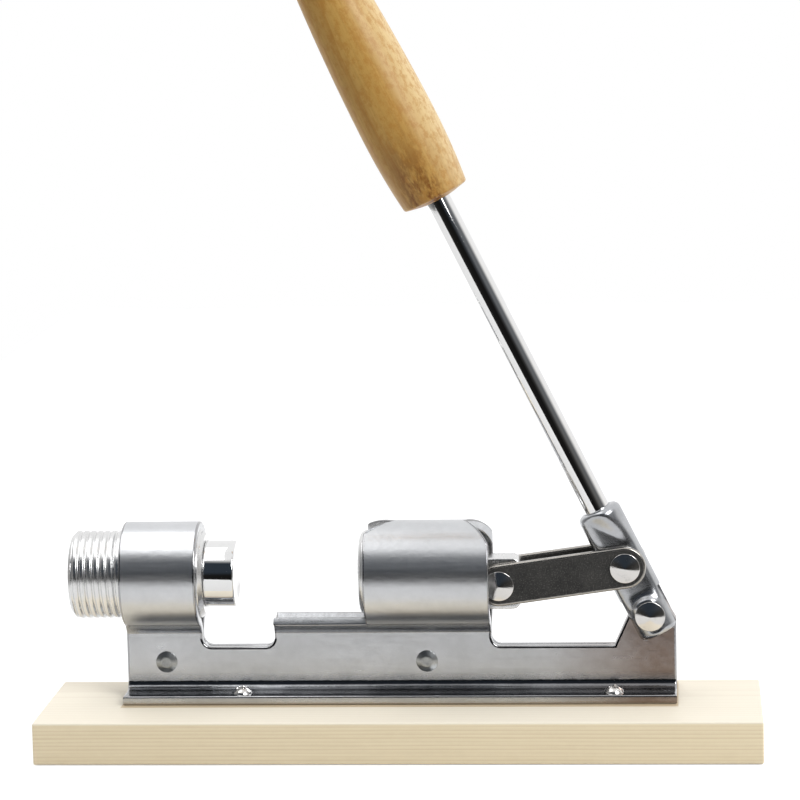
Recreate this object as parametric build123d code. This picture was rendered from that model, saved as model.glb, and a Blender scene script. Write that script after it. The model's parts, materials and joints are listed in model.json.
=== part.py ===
from build123d import *

import os
from math import asin, ceil, cos, degrees, radians, sin, sqrt, tan

# Lever nutcracker on a pine board. One steel sheet is folded into two flanges, two webs and two rolled
# barrels. A screwed adjuster in the front barrel sets the anvil, and a lever with two links drives the ram
# that slides in the other barrel. Millimetres, +X towards the lever's pivot, +Y away from the viewer,
# +Z up, origin at the middle of the board's underside. Pieces are modelled about the frame's mid-plane,
# and the last step sets them back from the board's centre line.

# Board
BOARD_LENGTH = 230.0
BOARD_DEPTH = 58.5
BOARD_THICKNESS = 13.4
BOARD_ROUND = 0.6
FRAME_FAR_INSET = 20.0

# Folded sheet
SHEET = 3.0
SEAM = 0.2
FLANGE_HALF_WIDTH = 14.5
FLANGE_BEND = 2.0
FRAME_INSET = 25.3
FRONT_BARREL_LENGTH = 24.8
FRONT_NOTCH_LENGTH = 23.5
CRADLE_LENGTH = 30.1
RAM_BARREL_LENGTH = 40.2
REAR_NOTCH_LENGTH = 39.8
UPRIGHT_FOOT = 19.5
WEB_HEIGHT = 16.6
NOTCH_CORNER = 3.0

# Rolled barrels
BARREL_RADIUS = 17.0
BARREL_AXIS_HEIGHT = 40.3
NECK_FILLET = 3.4
FRONT_MOUTH_DEPTH = 8.8
FRONT_MOUTH_HALF_WIDTH = 8.6
REAR_MOUTH_DEPTH = 7.9
REAR_MOUTH_HALF_WIDTH = 12.4

# Nut cradle between the barrels
CRADLE_HEIGHT = 24.4
CRADLE_BEND_HEIGHT = 19.6
CRADLE_BEND = 2.0
CRADLE_FLARE = 55.0

# Rivets through the two webs
WEB_RIVET_HEIGHT = 11.8
WEB_RIVET_SHANK = 4.0
WEB_RIVET_HEAD = 7.0
WEB_RIVET_HEAD_HEIGHT = 0.9
FRONT_WEB_RIVET_INSET = 12.9
MIDDLE_WEB_RIVET_INSET = 19.2

# Wood screws through the flanges
SCREW_SHANK = 3.4
SCREW_HEAD = 6.6
SCREW_HEAD_HEIGHT = 2.2
SCREW_DEPTH = 9.5
SCREW_TIP = 2.0
SCREW_SIDE = 9.5
SCREW_SLOT_LENGTH = 3.8
SCREW_SLOT_WIDTH = 0.9
SCREW_SLOT_DEPTH = 1.0
FRONT_SCREW_INSET = 13.4
REAR_SCREW_INSET = 0.5

# Adjusting screw and its thread
THREAD_CREST_RADIUS = 14.2
THREAD_DEPTH = 0.55
THREAD_PITCH = 2.3
THREAD_CREST_WIDTH = 0.6
THREAD_ROOT_WIDTH = 0.4
ADJUSTER_LENGTH = 43.3
ADJUSTER_PROUD = 1.6
ADJUSTER_CHAMFER = 0.8

# Swivelling anvil
ANVIL_DIAMETER = 21.5
ANVIL_LENGTH = 9.9
ANVIL_ROUND = 0.8
ANVIL_CUP_DIAMETER = 17.0
ANVIL_CUP_DEPTH = 1.6
SPIGOT_DIAMETER = 12.0
SPIGOT_LENGTH = 18.0
RETAINING_RING_WIRE = 1.6
RETAINING_RING_SETBACK = 9.0

# Ram
RAM_LENGTH = 45.0
RAM_ROUND = 2.6
RAM_CUP_DIAMETER = 20.0
RAM_CUP_DEPTH = 1.8
RAM_SHOULDER_GAP = 1.9
TONGUE_THICKNESS = 9.6
TONGUE_ABOVE_PIN = 8.5
TONGUE_BELOW_PIN = 8.0
TONGUE_BEHIND_PIN = 6.8
TONGUE_CORNER = 2.5
RAM_PIN_DROP = 3.2

# Linkage
PIVOT_INSET = 8.3
PIVOT_HEIGHT = 26.8
LEVER_LEAN = 26.2
CRANK = 17.7
LINK_LENGTH = 40.7
LINK_WIDTH = 13.4
LINK_THICKNESS = 2.5
LINK_ROUND = 0.7
PIVOT_PIN = 6.0
LINK_PIN = 5.0
PIN_HEAD = 9.6
PIN_HEAD_HEIGHT = 1.9
PIN_HEAD_RIM = 0.5
RAM_SLOT_BEHIND = 1.3
RAM_SLOT_BELOW = 2.1

# Rear upright that carries the lever
UPRIGHT_TOP_RADIUS = 6.2
UPRIGHT_SLOPE_RISE = 7.9
UPRIGHT_SLOPE_RUN = 3.6
UPRIGHT_SHOULDER_ANGLE = 31.0

# Lever
SOCKET_DIAMETER = 14.3
SOCKET_ABOVE_PIVOT = 36.1
SOCKET_BELOW_PIVOT = 7.2
SOCKET_ROUND = 1.2
SOCKET_SLOT_ABOVE = 7.4
PIN_SEAT_HALF_WIDTH = 6.6
LEVER_SWING = 28.0
LINK_TURN = 1.185
ROD_DIAMETER = 8.5
ROD_IN_SOCKET = 12.0
ROD_IN_HANDLE = 62.0
HANDLE_START = 150.3
HANDLE_LENGTH = 95.0
HANDLE_END_DIAMETER = 22.1
HANDLE_BELLY_DIAMETER = 24.8
HANDLE_BELLY_HEIGHT = 28.0
HANDLE_NECK_DIAMETER = 20.5
HANDLE_NECK_BELOW_TOP = 17.0
HANDLE_BUTT_DOME = 1.8
HANDLE_CROWN_DIAMETER = 15.0
HANDLE_CROWN_DROP = 4.0

# Fits
RUNNING_FIT = 0.06
PRESS_GAP = 0.02
THREAD_FIT = 0.12
THRUST_GAP = 0.1
RING_FIT = 0.15
FLAT_FIT = 0.5
SIDE_FIT = 0.2
SCREW_HOLE_FIT = 0.3
CUT_MARGIN = 1.0

# Places worked out from the sizes above
BOARD_TOP = BOARD_THICKNESS
FRAME_SETBACK = BOARD_DEPTH / 2 - FRAME_FAR_INSET
FRAME_LEFT = -BOARD_LENGTH / 2 + FRAME_INSET
FRONT_BARREL_END = FRAME_LEFT + FRONT_BARREL_LENGTH
CRADLE_START = FRONT_BARREL_END + FRONT_NOTCH_LENGTH
RAM_BARREL_START = CRADLE_START + CRADLE_LENGTH
RAM_BARREL_END = RAM_BARREL_START + RAM_BARREL_LENGTH
UPRIGHT_START = RAM_BARREL_END + REAR_NOTCH_LENGTH
FRAME_RIGHT = UPRIGHT_START + UPRIGHT_FOOT
WEB_TOP = BOARD_TOP + WEB_HEIGHT
AXIS_Z = BOARD_TOP + BARREL_AXIS_HEIGHT
BORE_RADIUS = BARREL_RADIUS - SHEET
WEB_INNER = SEAM / 2
WEB_OUTER = WEB_INNER + SHEET
PIVOT_X = FRAME_RIGHT - PIVOT_INSET
PIVOT_Z = BOARD_TOP + PIVOT_HEIGHT
LINK_PIN_X = PIVOT_X - CRANK * sin(radians(LEVER_LEAN))
LINK_PIN_Z = PIVOT_Z + CRANK * cos(radians(LEVER_LEAN))
RAM_PIN_Z = AXIS_Z - RAM_PIN_DROP
LINK_RISE = LINK_PIN_Z - RAM_PIN_Z
RAM_PIN_X = LINK_PIN_X - sqrt(LINK_LENGTH**2 - LINK_RISE**2)
TONGUE_HALF = TONGUE_THICKNESS / 2
LINK_INNER = TONGUE_HALF + SIDE_FIT
LINK_OUTER = LINK_INNER + LINK_THICKNESS
ADJUSTER_END = FRONT_BARREL_END + ADJUSTER_PROUD

LEVER_PLACE = Pos(PIVOT_X, 0, PIVOT_Z) * Rot(0, -LEVER_LEAN, 0)
ALONG_X = Rot(0, 90, 0)
ALONG_Y = Rot(90, 0, 0)


def rod_x(radius, start, end, z=AXIS_Z):
    """Cylinder along X between two stations."""
    return Pos((start + end) / 2, 0, z) * ALONG_X * Cylinder(radius, end - start)


def pin_y(radius, length, x, z):
    """Cylinder across the frame, centred on its mid-plane."""
    return Pos(x, 0, z) * ALONG_Y * Cylinder(radius, length)


def plate_y(face, half_width):
    """Side-view face, drawn as X and Z, made into a solid across the whole frame."""
    return extrude(Plane.XZ * face, half_width, both=True)


def dish(radius, depth, x, facing):
    """Ball that sinks a round cup into a face at x, on the barrels' axis."""
    ball = (radius**2 + depth**2) / (2 * depth)
    return Pos(x + facing * (ball - depth), 0, AXIS_Z) * Rot(0, 0, 90) * Sphere(ball)


def mirror_pair(half):
    """A piece together with its twin on the other side of the mid-plane."""
    return half + mirror(half, Plane.XZ)


def barrel_half_section():
    """Sheet from one flange edge up the web and over to the top of the barrel, as Y and Z."""
    bend_y = WEB_OUTER + FLANGE_BEND
    bend_z = BOARD_TOP + SHEET + FLANGE_BEND
    neck_y = WEB_OUTER + NECK_FILLET
    reach = BARREL_RADIUS + NECK_FILLET
    neck_z = AXIS_Z - sqrt(reach**2 - neck_y**2)
    lean_y = neck_y / reach
    lean_z = (neck_z - AXIS_Z) / reach
    outer_foot = (BARREL_RADIUS * lean_y, AXIS_Z + BARREL_RADIUS * lean_z)
    inner_foot = (BORE_RADIUS * lean_y, AXIS_Z + BORE_RADIUS * lean_z)
    inwards = (-sqrt(0.5), -sqrt(0.5))

    neck_middle = (Vector(-lean_y, -lean_z) + Vector(-1, 0)).normalized()
    neck_side = (neck_middle.X, neck_middle.Y)
    barrel_middle = (Vector(lean_y, lean_z) + Vector(0, 1)).normalized()
    barrel_side = (barrel_middle.X, barrel_middle.Y)

    def arc(center_y, center_z, radius, start, end, side):
        middle = (center_y + side[0] * radius, center_z + side[1] * radius)
        return ThreePointArc(start, middle, end)

    lines = [
        Polyline((bend_y, BOARD_TOP), (FLANGE_HALF_WIDTH, BOARD_TOP), (FLANGE_HALF_WIDTH, BOARD_TOP + SHEET),
                 (bend_y, BOARD_TOP + SHEET)),
        arc(bend_y, bend_z, FLANGE_BEND, (bend_y, BOARD_TOP + SHEET), (WEB_OUTER, bend_z), inwards),
        Line((WEB_OUTER, bend_z), (WEB_OUTER, neck_z)),
        arc(neck_y, neck_z, NECK_FILLET, (WEB_OUTER, neck_z), outer_foot, neck_side),
        arc(0, AXIS_Z, BARREL_RADIUS, outer_foot, (0, AXIS_Z + BARREL_RADIUS), barrel_side),
        Line((0, AXIS_Z + BARREL_RADIUS), (0, AXIS_Z + BORE_RADIUS)),
        arc(0, AXIS_Z, BORE_RADIUS, (0, AXIS_Z + BORE_RADIUS), inner_foot, barrel_side),
        arc(neck_y, neck_z, NECK_FILLET + SHEET, inner_foot, (WEB_INNER, neck_z), neck_side),
        Line((WEB_INNER, neck_z), (WEB_INNER, bend_z)),
        arc(bend_y, bend_z, FLANGE_BEND + SHEET, (WEB_INNER, bend_z), (bend_y, BOARD_TOP), inwards),
    ]
    return make_face(lines)


def cradle_half_section():
    """Web that turns outwards into one lip of the nut cradle, as Y and Z."""
    flare = radians(CRADLE_FLARE)
    bend_y = WEB_OUTER + CRADLE_BEND
    bend_z = BOARD_TOP + CRADLE_BEND_HEIGHT
    top_z = BOARD_TOP + CRADLE_HEIGHT

    def bent(radius):
        start = (bend_y - radius, bend_z)
        middle = (bend_y - radius * cos(flare / 2), bend_z + radius * sin(flare / 2))
        end = (bend_y - radius * cos(flare), bend_z + radius * sin(flare))
        lip = (end[0] + (top_z - end[1]) * tan(flare), top_z)
        return start, middle, end, lip

    outer = bent(CRADLE_BEND)
    inner = bent(CRADLE_BEND + SHEET)
    lines = [
        Polyline(inner[0], (WEB_INNER, WEB_TOP - CUT_MARGIN), (WEB_OUTER, WEB_TOP - CUT_MARGIN), outer[0]),
        ThreePointArc(*outer[:3]),
        Polyline(outer[2], outer[3], inner[3], inner[2]),
        ThreePointArc(inner[2], inner[1], inner[0]),
    ]
    return make_face(lines)


def upright_side():
    """Rear upright as X and Z: a sloping front, a round top about the pivot and a sloping shoulder."""
    slope = Vector(UPRIGHT_SLOPE_RUN, UPRIGHT_SLOPE_RISE).normalized()
    pivot = Vector(PIVOT_X, PIVOT_Z)
    front = pivot + UPRIGHT_TOP_RADIUS * Vector(-slope.Y, slope.X)
    shoulder = radians(UPRIGHT_SHOULDER_ANGLE)
    back = pivot + UPRIGHT_TOP_RADIUS * Vector(cos(shoulder), sin(shoulder))
    foot_z = WEB_TOP - CUT_MARGIN
    foot = front - slope * ((front.Y - foot_z) / slope.Y)
    drop = (FRAME_RIGHT - back.X) / tan(shoulder)
    lines = [
        Line((foot.X, foot_z), (front.X, front.Y)),
        ThreePointArc((front.X, front.Y), (PIVOT_X, PIVOT_Z + UPRIGHT_TOP_RADIUS), (back.X, back.Y)),
        Polyline((back.X, back.Y), (FRAME_RIGHT, back.Y - drop), (FRAME_RIGHT, foot_z), (foot.X, foot_z)),
    ]
    return make_face(lines)


def notch(start, end, bottom):
    """Rounded-corner cut down to a height, through both webs and the barrel above."""
    top = AXIS_Z + BARREL_RADIUS + CUT_MARGIN
    outline = Polyline((start, top), (start, bottom), (end, bottom), (end, top))
    rounded = fillet(outline.vertices().filter_by(lambda v: v.Y < top), NOTCH_CORNER)
    return plate_y(make_face([rounded, Line((end, top), (start, top))]), BARREL_RADIUS + CUT_MARGIN)


def mouth_cut(end, apex, half_width):
    """Wedge that opens the top of a barrel's end."""
    beyond = end + (end - apex)
    reach = 2 * half_width
    wedge = make_face(Polyline((apex, 0), (beyond, reach), (beyond, -reach), close=True))
    return extrude(Pos(0, 0, AXIS_Z) * wedge, BARREL_RADIUS + CUT_MARGIN)


def thread_sweep(low, high, low_width, high_width, start, end):
    """Helical rib about the barrels' axis, as half turns that follow one another."""
    half_pitch = THREAD_PITCH / 2
    profile = make_face(Polyline((low, -low_width / 2), (high, -high_width / 2), (high, high_width / 2),
                                 (low, low_width / 2), close=True))
    half_turn = sweep(Plane.XZ * profile, path=Helix(THREAD_PITCH, half_pitch, low), is_frenet=True)
    place = Pos(start, 0, AXIS_Z) * ALONG_X
    count = ceil((end - start) / half_pitch)
    return [place * Pos(0, 0, k * half_pitch) * Rot(0, 0, 180 * k) * half_turn for k in range(count)]


def frame_screw_places():
    """Places of the four wood screws, as X and Y."""
    stations = {"front": FRONT_BARREL_END + FRONT_SCREW_INSET, "rear": UPRIGHT_START - REAR_SCREW_INSET}
    return {f"{end}_{side}": (x, y) for end, x in stations.items()
            for side, y in (("near", -SCREW_SIDE), ("far", SCREW_SIDE))}


def web_rivet_places():
    """Stations of the two rivets that hold the webs together."""
    return {"front": FRAME_LEFT + FRONT_WEB_RIVET_INSET, "middle": RAM_BARREL_START + MIDDLE_WEB_RIVET_INSET}


def base_board():
    """Pine board with pilot holes for the screws."""
    board = Pos(0, -FRAME_SETBACK, BOARD_THICKNESS / 2) * Box(BOARD_LENGTH, BOARD_DEPTH, BOARD_THICKNESS)
    board = fillet(board.edges(), BOARD_ROUND)
    for x, y in frame_screw_places().values():
        hole_top = BOARD_TOP + CUT_MARGIN
        depth = SCREW_DEPTH + PRESS_GAP + CUT_MARGIN
        board -= Pos(x, y, hole_top - depth / 2) * Cylinder(SCREW_SHANK / 2 + PRESS_GAP, depth)
    return board


def body_frame():
    """The folded sheet: flanges, webs, two barrels, the nut cradle and the rear upright."""
    length = FRAME_RIGHT - FRAME_LEFT
    half = extrude(Plane.YZ.offset(FRAME_LEFT) * barrel_half_section(), length)
    cradle = extrude(Plane.YZ.offset(CRADLE_START) * cradle_half_section(), CRADLE_LENGTH)
    side = Pos(0, (WEB_INNER + WEB_OUTER) / 2, 0) * plate_y(upright_side(), SHEET / 2)
    cradle_foot = BOARD_TOP + CRADLE_BEND_HEIGHT
    opened = notch(FRONT_BARREL_END, CRADLE_START, WEB_TOP)
    cleared = notch(RAM_BARREL_END, FRAME_RIGHT + 2 * NOTCH_CORNER, WEB_TOP)
    above = AXIS_Z + BARREL_RADIUS + CUT_MARGIN - cradle_foot
    lifted = Pos((CRADLE_START + RAM_BARREL_START) / 2, 0, cradle_foot + above / 2)
    seat = lifted * Box(CRADLE_LENGTH, 2 * BARREL_RADIUS + CUT_MARGIN, above)
    frame = mirror_pair(half) - opened - cleared - seat
    frame += mirror_pair(cradle)
    frame += mirror_pair(side)
    frame -= mouth_cut(RAM_BARREL_START, RAM_BARREL_START + FRONT_MOUTH_DEPTH, FRONT_MOUTH_HALF_WIDTH)
    frame -= mouth_cut(RAM_BARREL_END, RAM_BARREL_END - REAR_MOUTH_DEPTH, REAR_MOUTH_HALF_WIDTH)
    across = 2 * BARREL_RADIUS
    for x in web_rivet_places().values():
        frame -= pin_y(WEB_RIVET_SHANK / 2 + PRESS_GAP, across, x, BOARD_TOP + WEB_RIVET_HEIGHT)
    frame -= pin_y(PIVOT_PIN / 2 + RUNNING_FIT, across, PIVOT_X, PIVOT_Z)
    for x, y in frame_screw_places().values():
        frame -= Pos(x, y, BOARD_TOP) * Cylinder(SCREW_SHANK / 2 + SCREW_HOLE_FIT, 3 * SHEET)
    return frame - thread_in_barrel()


def thread_flank():
    """Rise of the thread's flank along the axis, for each millimetre of depth."""
    return (THREAD_PITCH - THREAD_CREST_WIDTH - THREAD_ROOT_WIDTH) / (2 * THREAD_DEPTH)


def thread_start(beyond):
    """Station at least a turn before a place, in step with the thread's crest."""
    return ADJUSTER_END - ceil((ADJUSTER_END - beyond) / THREAD_PITCH + 1) * THREAD_PITCH


def thread_in_barrel():
    """Helical groove that the adjusting screw's thread runs in."""
    low = BORE_RADIUS - THREAD_FIT
    high = THREAD_CREST_RADIUS + THREAD_FIT
    high_width = THREAD_CREST_WIDTH + 2 * THREAD_FIT
    low_width = high_width + 2 * thread_flank() * (high - low)
    start = thread_start(FRAME_LEFT)
    return thread_sweep(low, high, low_width, high_width, start, ADJUSTER_END + THREAD_PITCH)


def thread_valley():
    """Helical cut that leaves the thread standing on the adjusting screw."""
    root = THREAD_CREST_RADIUS - THREAD_DEPTH
    high = THREAD_CREST_RADIUS + THREAD_FIT
    high_width = THREAD_ROOT_WIDTH + 2 * thread_flank() * (high - root)
    half_turn = THREAD_PITCH / 2
    start = thread_start(ADJUSTER_END - ADJUSTER_LENGTH) - half_turn
    return thread_sweep(root, high, THREAD_ROOT_WIDTH, high_width, start, ADJUSTER_END + half_turn)


def adjusting_screw():
    """Threaded plug with a bore for the anvil's spigot."""
    back = ADJUSTER_END - ADJUSTER_LENGTH
    plug = rod_x(THREAD_CREST_RADIUS, back, ADJUSTER_END)
    plug = chamfer(plug.edges().filter_by(GeomType.CIRCLE), ADJUSTER_CHAMFER)
    plug -= thread_valley()
    bore_end = ADJUSTER_END - SPIGOT_LENGTH - CUT_MARGIN
    plug -= rod_x(SPIGOT_DIAMETER / 2 + RUNNING_FIT, bore_end, ADJUSTER_END + CUT_MARGIN)
    return plug - ring_torus(RETAINING_RING_WIRE / 2 + RING_FIT)


def ring_torus(wire_radius):
    """Ring about the anvil's spigot at the retaining groove."""
    place = Pos(ADJUSTER_END - RETAINING_RING_SETBACK, 0, AXIS_Z) * ALONG_X
    return place * Torus(SPIGOT_DIAMETER / 2, wire_radius)


def anvil_cup():
    """Bright nose with a shallow cup, on a spigot that turns in the adjusting screw."""
    back = ADJUSTER_END + THRUST_GAP
    front = back + ANVIL_LENGTH
    nose = rod_x(ANVIL_DIAMETER / 2, back, front)
    nose = fillet(nose.edges().filter_by(GeomType.CIRCLE).sort_by(Axis.X)[-1], ANVIL_ROUND)
    nose += rod_x(SPIGOT_DIAMETER / 2, ADJUSTER_END - SPIGOT_LENGTH, back + CUT_MARGIN)
    nose -= ring_torus(RETAINING_RING_WIRE / 2 + PRESS_GAP)
    return nose - dish(ANVIL_CUP_DIAMETER / 2, ANVIL_CUP_DEPTH, front, 1)


def ram():
    """Plunger with a cupped face and a flat tongue between the links."""
    front = RAM_PIN_X - RAM_LENGTH
    shoulder = RAM_PIN_X - LINK_WIDTH / 2 - RAM_SHOULDER_GAP
    plunger = rod_x(BORE_RADIUS - RUNNING_FIT, front, shoulder)
    plunger = fillet(plunger.edges().filter_by(GeomType.CIRCLE).sort_by(Axis.X)[0], RAM_ROUND)
    plunger -= dish(RAM_CUP_DIAMETER / 2, RAM_CUP_DEPTH, front, -1)
    start = shoulder - CUT_MARGIN
    end = RAM_PIN_X + TONGUE_BEHIND_PIN
    height = TONGUE_ABOVE_PIN + TONGUE_BELOW_PIN
    middle_z = RAM_PIN_Z + (TONGUE_ABOVE_PIN - TONGUE_BELOW_PIN) / 2
    tongue = Pos((start + end) / 2, 0, middle_z) * Box(end - start, TONGUE_THICKNESS, height)
    tongue = fillet(tongue.edges().filter_by(Axis.Y).sort_by(Axis.X)[-2:], TONGUE_CORNER)
    clear = LINK_PIN / 2 + SIDE_FIT
    slot = RectangleRounded(2 * clear + RAM_SLOT_BEHIND, 2 * clear + RAM_SLOT_BELOW, clear)
    slot = Pos(RAM_PIN_X + RAM_SLOT_BEHIND / 2, RAM_PIN_Z - RAM_SLOT_BELOW / 2) * slot
    return plunger + tongue - plate_y(slot, TONGUE_THICKNESS)


def headed_pin(diameter, half_grip, head, head_height, rim):
    """Pin along Y with a low pointed head at each end, centred on the origin."""
    half = Polyline((0, 0), (diameter / 2, 0), (diameter / 2, half_grip), (head / 2, half_grip),
                    (head / 2, half_grip + rim), (0, half_grip + head_height), close=True)
    half = revolve(Plane.XZ * make_face(half), Axis.Z)
    return ALONG_Y * (half + mirror(half, Plane.XY))


def dome_middle(diameter, height, base):
    """Point half-way along the arc from a dome's rim to its top."""
    ball = (diameter**2 / 4 + height**2) / (2 * height)
    half_angle = asin(diameter / 2 / ball) / 2
    return (ball * sin(half_angle), base + height - ball * (1 - cos(half_angle)))


def web_rivet(x):
    """Low-headed rivet through both webs."""
    rivet = headed_pin(WEB_RIVET_SHANK, WEB_OUTER, WEB_RIVET_HEAD, WEB_RIVET_HEAD_HEIGHT,
                       WEB_RIVET_HEAD_HEIGHT / 2)
    return Pos(x, 0, BOARD_TOP + WEB_RIVET_HEIGHT) * rivet


def wood_screw(x, y):
    """Round-headed screw with a cross recess, seated on a flange."""
    seat = SHEET
    tip = -SCREW_DEPTH
    radius = SCREW_SHANK / 2
    lines = [
        Polyline((0, tip), (radius, tip + SCREW_TIP), (radius, seat), (SCREW_HEAD / 2, seat)),
        ThreePointArc((SCREW_HEAD / 2, seat), dome_middle(SCREW_HEAD, SCREW_HEAD_HEIGHT, seat),
                      (0, seat + SCREW_HEAD_HEIGHT)),
        Line((0, seat + SCREW_HEAD_HEIGHT), (0, tip)),
    ]
    screw = revolve(Plane.XZ * make_face(lines), Axis.Z)
    recess = Pos(0, 0, seat + SCREW_HEAD_HEIGHT)
    screw -= recess * Box(SCREW_SLOT_LENGTH, SCREW_SLOT_WIDTH, 2 * SCREW_SLOT_DEPTH)
    screw -= recess * Box(SCREW_SLOT_WIDTH, SCREW_SLOT_LENGTH, 2 * SCREW_SLOT_DEPTH)
    return Pos(x, y, BOARD_TOP) * screw


def link(side):
    """Strap from the ram's pin to the lever's pin, on one side of the mid-plane."""
    strap = extrude(SlotCenterToCenter(LINK_LENGTH, LINK_WIDTH), LINK_THICKNESS / 2, both=True)
    faces = strap.faces().filter_by(Axis.Z)
    strap = fillet(faces.edges(), LINK_ROUND)
    strap -= Pos(-LINK_LENGTH / 2, 0, 0) * Cylinder(LINK_PIN / 2 + PRESS_GAP, 2 * LINK_THICKNESS)
    strap -= Pos(LINK_LENGTH / 2, 0, 0) * Cylinder(LINK_PIN / 2 + RUNNING_FIT, 2 * LINK_THICKNESS)
    middle_y = side * (LINK_INNER + LINK_OUTER) / 2
    middle = Pos((RAM_PIN_X + LINK_PIN_X) / 2, middle_y, (RAM_PIN_Z + LINK_PIN_Z) / 2)
    return middle * Rot(0, -link_slope(), 0) * ALONG_Y * strap


def link_slope():
    """Rise of the links towards the lever, in degrees."""
    return degrees(asin(LINK_RISE / LINK_LENGTH))


def ram_link_rivet():
    """Rivet through both links and the ram's tongue."""
    rivet = headed_pin(LINK_PIN, LINK_OUTER, PIN_HEAD, PIN_HEAD_HEIGHT, PIN_HEAD_RIM)
    return Pos(RAM_PIN_X, 0, RAM_PIN_Z) * rivet


def lever_link_rivet():
    """Rivet through both links and the lever's socket."""
    rivet = headed_pin(LINK_PIN, LINK_OUTER + THRUST_GAP, PIN_HEAD, PIN_HEAD_HEIGHT, PIN_HEAD_RIM)
    return Pos(LINK_PIN_X, 0, LINK_PIN_Z) * rivet


def pivot_rivet():
    """Rivet that the lever swings on, through the socket's cheeks and both webs."""
    rivet = headed_pin(PIVOT_PIN, PIN_SEAT_HALF_WIDTH, PIN_HEAD, PIN_HEAD_HEIGHT, PIN_HEAD_RIM)
    return Pos(PIVOT_X, 0, PIVOT_Z) * rivet


def link_sweep():
    """Room that a link takes beside the socket through the lever's swing, in the lever's own frame."""
    rest = LEVER_LEAN - link_slope()
    reach = LINK_LENGTH
    width = LINK_WIDTH + 2 * FLAT_FIT
    turn = LEVER_SWING * LINK_TURN
    room = Circle(width / 2)
    for step in (-1, -0.5, 0, 0.5, 1):
        room += Rot(0, 0, -rest - step * turn) * Pos(-reach / 2, 0) * Rectangle(reach, width)
    return Pos(0, CRANK) * room


def lever_socket():
    """Round bar that is slotted over the webs, flatted for the links and bored for the rod."""
    length = SOCKET_ABOVE_PIVOT + SOCKET_BELOW_PIVOT
    radius = SOCKET_DIAMETER / 2
    bar = Pos(0, 0, SOCKET_ABOVE_PIVOT - length / 2) * Cylinder(radius, length)
    bar = fillet(bar.edges().filter_by(GeomType.CIRCLE), SOCKET_ROUND)
    slot_height = SOCKET_SLOT_ABOVE + SOCKET_BELOW_PIVOT + CUT_MARGIN
    slot = Box(SOCKET_DIAMETER, 2 * (WEB_OUTER + SIDE_FIT), slot_height)
    bar -= Pos(0, 0, SOCKET_SLOT_ABOVE - slot_height / 2) * slot
    for side in (-1, 1):
        room = extrude(Plane.XZ * link_sweep(), SOCKET_DIAMETER / 2, both=True)
        bar -= Pos(0, side * (TONGUE_HALF + radius), 0) * room
        seat_depth = radius
        seat = ALONG_Y * Cylinder(PIN_HEAD / 2 + SIDE_FIT, seat_depth)
        bar -= Pos(0, side * (PIN_SEAT_HALF_WIDTH + seat_depth / 2), 0) * seat
    bar -= pin_y(PIVOT_PIN / 2 + PRESS_GAP, SOCKET_DIAMETER, 0, 0)
    bar -= pin_y(LINK_PIN / 2 + PRESS_GAP, SOCKET_DIAMETER, 0, CRANK)
    rod_hole = Cylinder(ROD_DIAMETER / 2 + PRESS_GAP, 2 * ROD_IN_SOCKET)
    return LEVER_PLACE * (bar - Pos(0, 0, SOCKET_ABOVE_PIVOT) * rod_hole)


def lever_rod():
    """Bright rod from the socket into the handle."""
    start = SOCKET_ABOVE_PIVOT - ROD_IN_SOCKET
    end = HANDLE_START + ROD_IN_HANDLE
    return LEVER_PLACE * Pos(0, 0, (start + end) / 2) * Cylinder(ROD_DIAMETER / 2, end - start)


def handle():
    """Turned wooden grip with a domed lower end, a belly and a rounded top."""
    base = HANDLE_START
    end = base + HANDLE_LENGTH
    rim = (HANDLE_END_DIAMETER / 2, base)
    top = (0, end)
    dome = dome_middle(HANDLE_END_DIAMETER, HANDLE_BUTT_DOME, 0)
    waist = [
        rim,
        (HANDLE_BELLY_DIAMETER / 2, base + HANDLE_BELLY_HEIGHT),
        (HANDLE_NECK_DIAMETER / 2, end - HANDLE_NECK_BELOW_TOP),
        (HANDLE_CROWN_DIAMETER / 2, end - HANDLE_CROWN_DROP),
        top,
    ]
    lines = [
        ThreePointArc((0, base - HANDLE_BUTT_DOME), (dome[0], base - dome[1]), rim),
        Spline(*waist, tangents=[(0.15, 1), (-1, 0)]),
        Line(top, (0, base - HANDLE_BUTT_DOME)),
    ]
    grip = revolve(Plane.XZ * make_face(lines), Axis.Z)
    hole_end = base + ROD_IN_HANDLE + PRESS_GAP
    depth = HANDLE_BUTT_DOME + ROD_IN_HANDLE + CUT_MARGIN
    grip -= Pos(0, 0, hole_end - depth / 2) * Cylinder(ROD_DIAMETER / 2 + PRESS_GAP, depth)
    return LEVER_PLACE * grip


def build_parts():
    """Every piece by its node name."""
    parts = {"base_board": base_board(), "body_frame": body_frame()}
    for name, x in web_rivet_places().items():
        parts[f"{name}_web_rivet"] = web_rivet(x)
    for name, (x, y) in frame_screw_places().items():
        parts[f"{name}_flange_screw"] = wood_screw(x, y)
    parts["adjusting_screw"] = adjusting_screw()
    parts["anvil_cup"] = anvil_cup()
    parts["anvil_retaining_ring"] = ring_torus(RETAINING_RING_WIRE / 2)
    parts["ram"] = ram()
    parts["near_link"] = link(-1)
    parts["far_link"] = link(1)
    parts["ram_link_rivet"] = ram_link_rivet()
    parts["lever_link_rivet"] = lever_link_rivet()
    parts["pivot_rivet"] = pivot_rivet()
    parts["lever_socket"] = lever_socket()
    parts["lever_rod"] = lever_rod()
    parts["handle"] = handle()
    return parts


os.makedirs("parts", exist_ok=True)
for node, shape in build_parts().items():
    export_step(Pos(0, FRAME_SETBACK, 0) * shape, f"parts/{node}.step")
    print(node, len(shape.solids()), round(shape.volume, 1))
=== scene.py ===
"""Looks of a bench nutcracker: a folded steel frame on a pine board, a screw-set anvil and a levered ram.

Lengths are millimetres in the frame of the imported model, and become metres when a mesh is written.
"""

import json
import logging
from dataclasses import dataclass
from enum import Enum, IntEnum
from typing import Any, Optional, Sequence, Union

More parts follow.
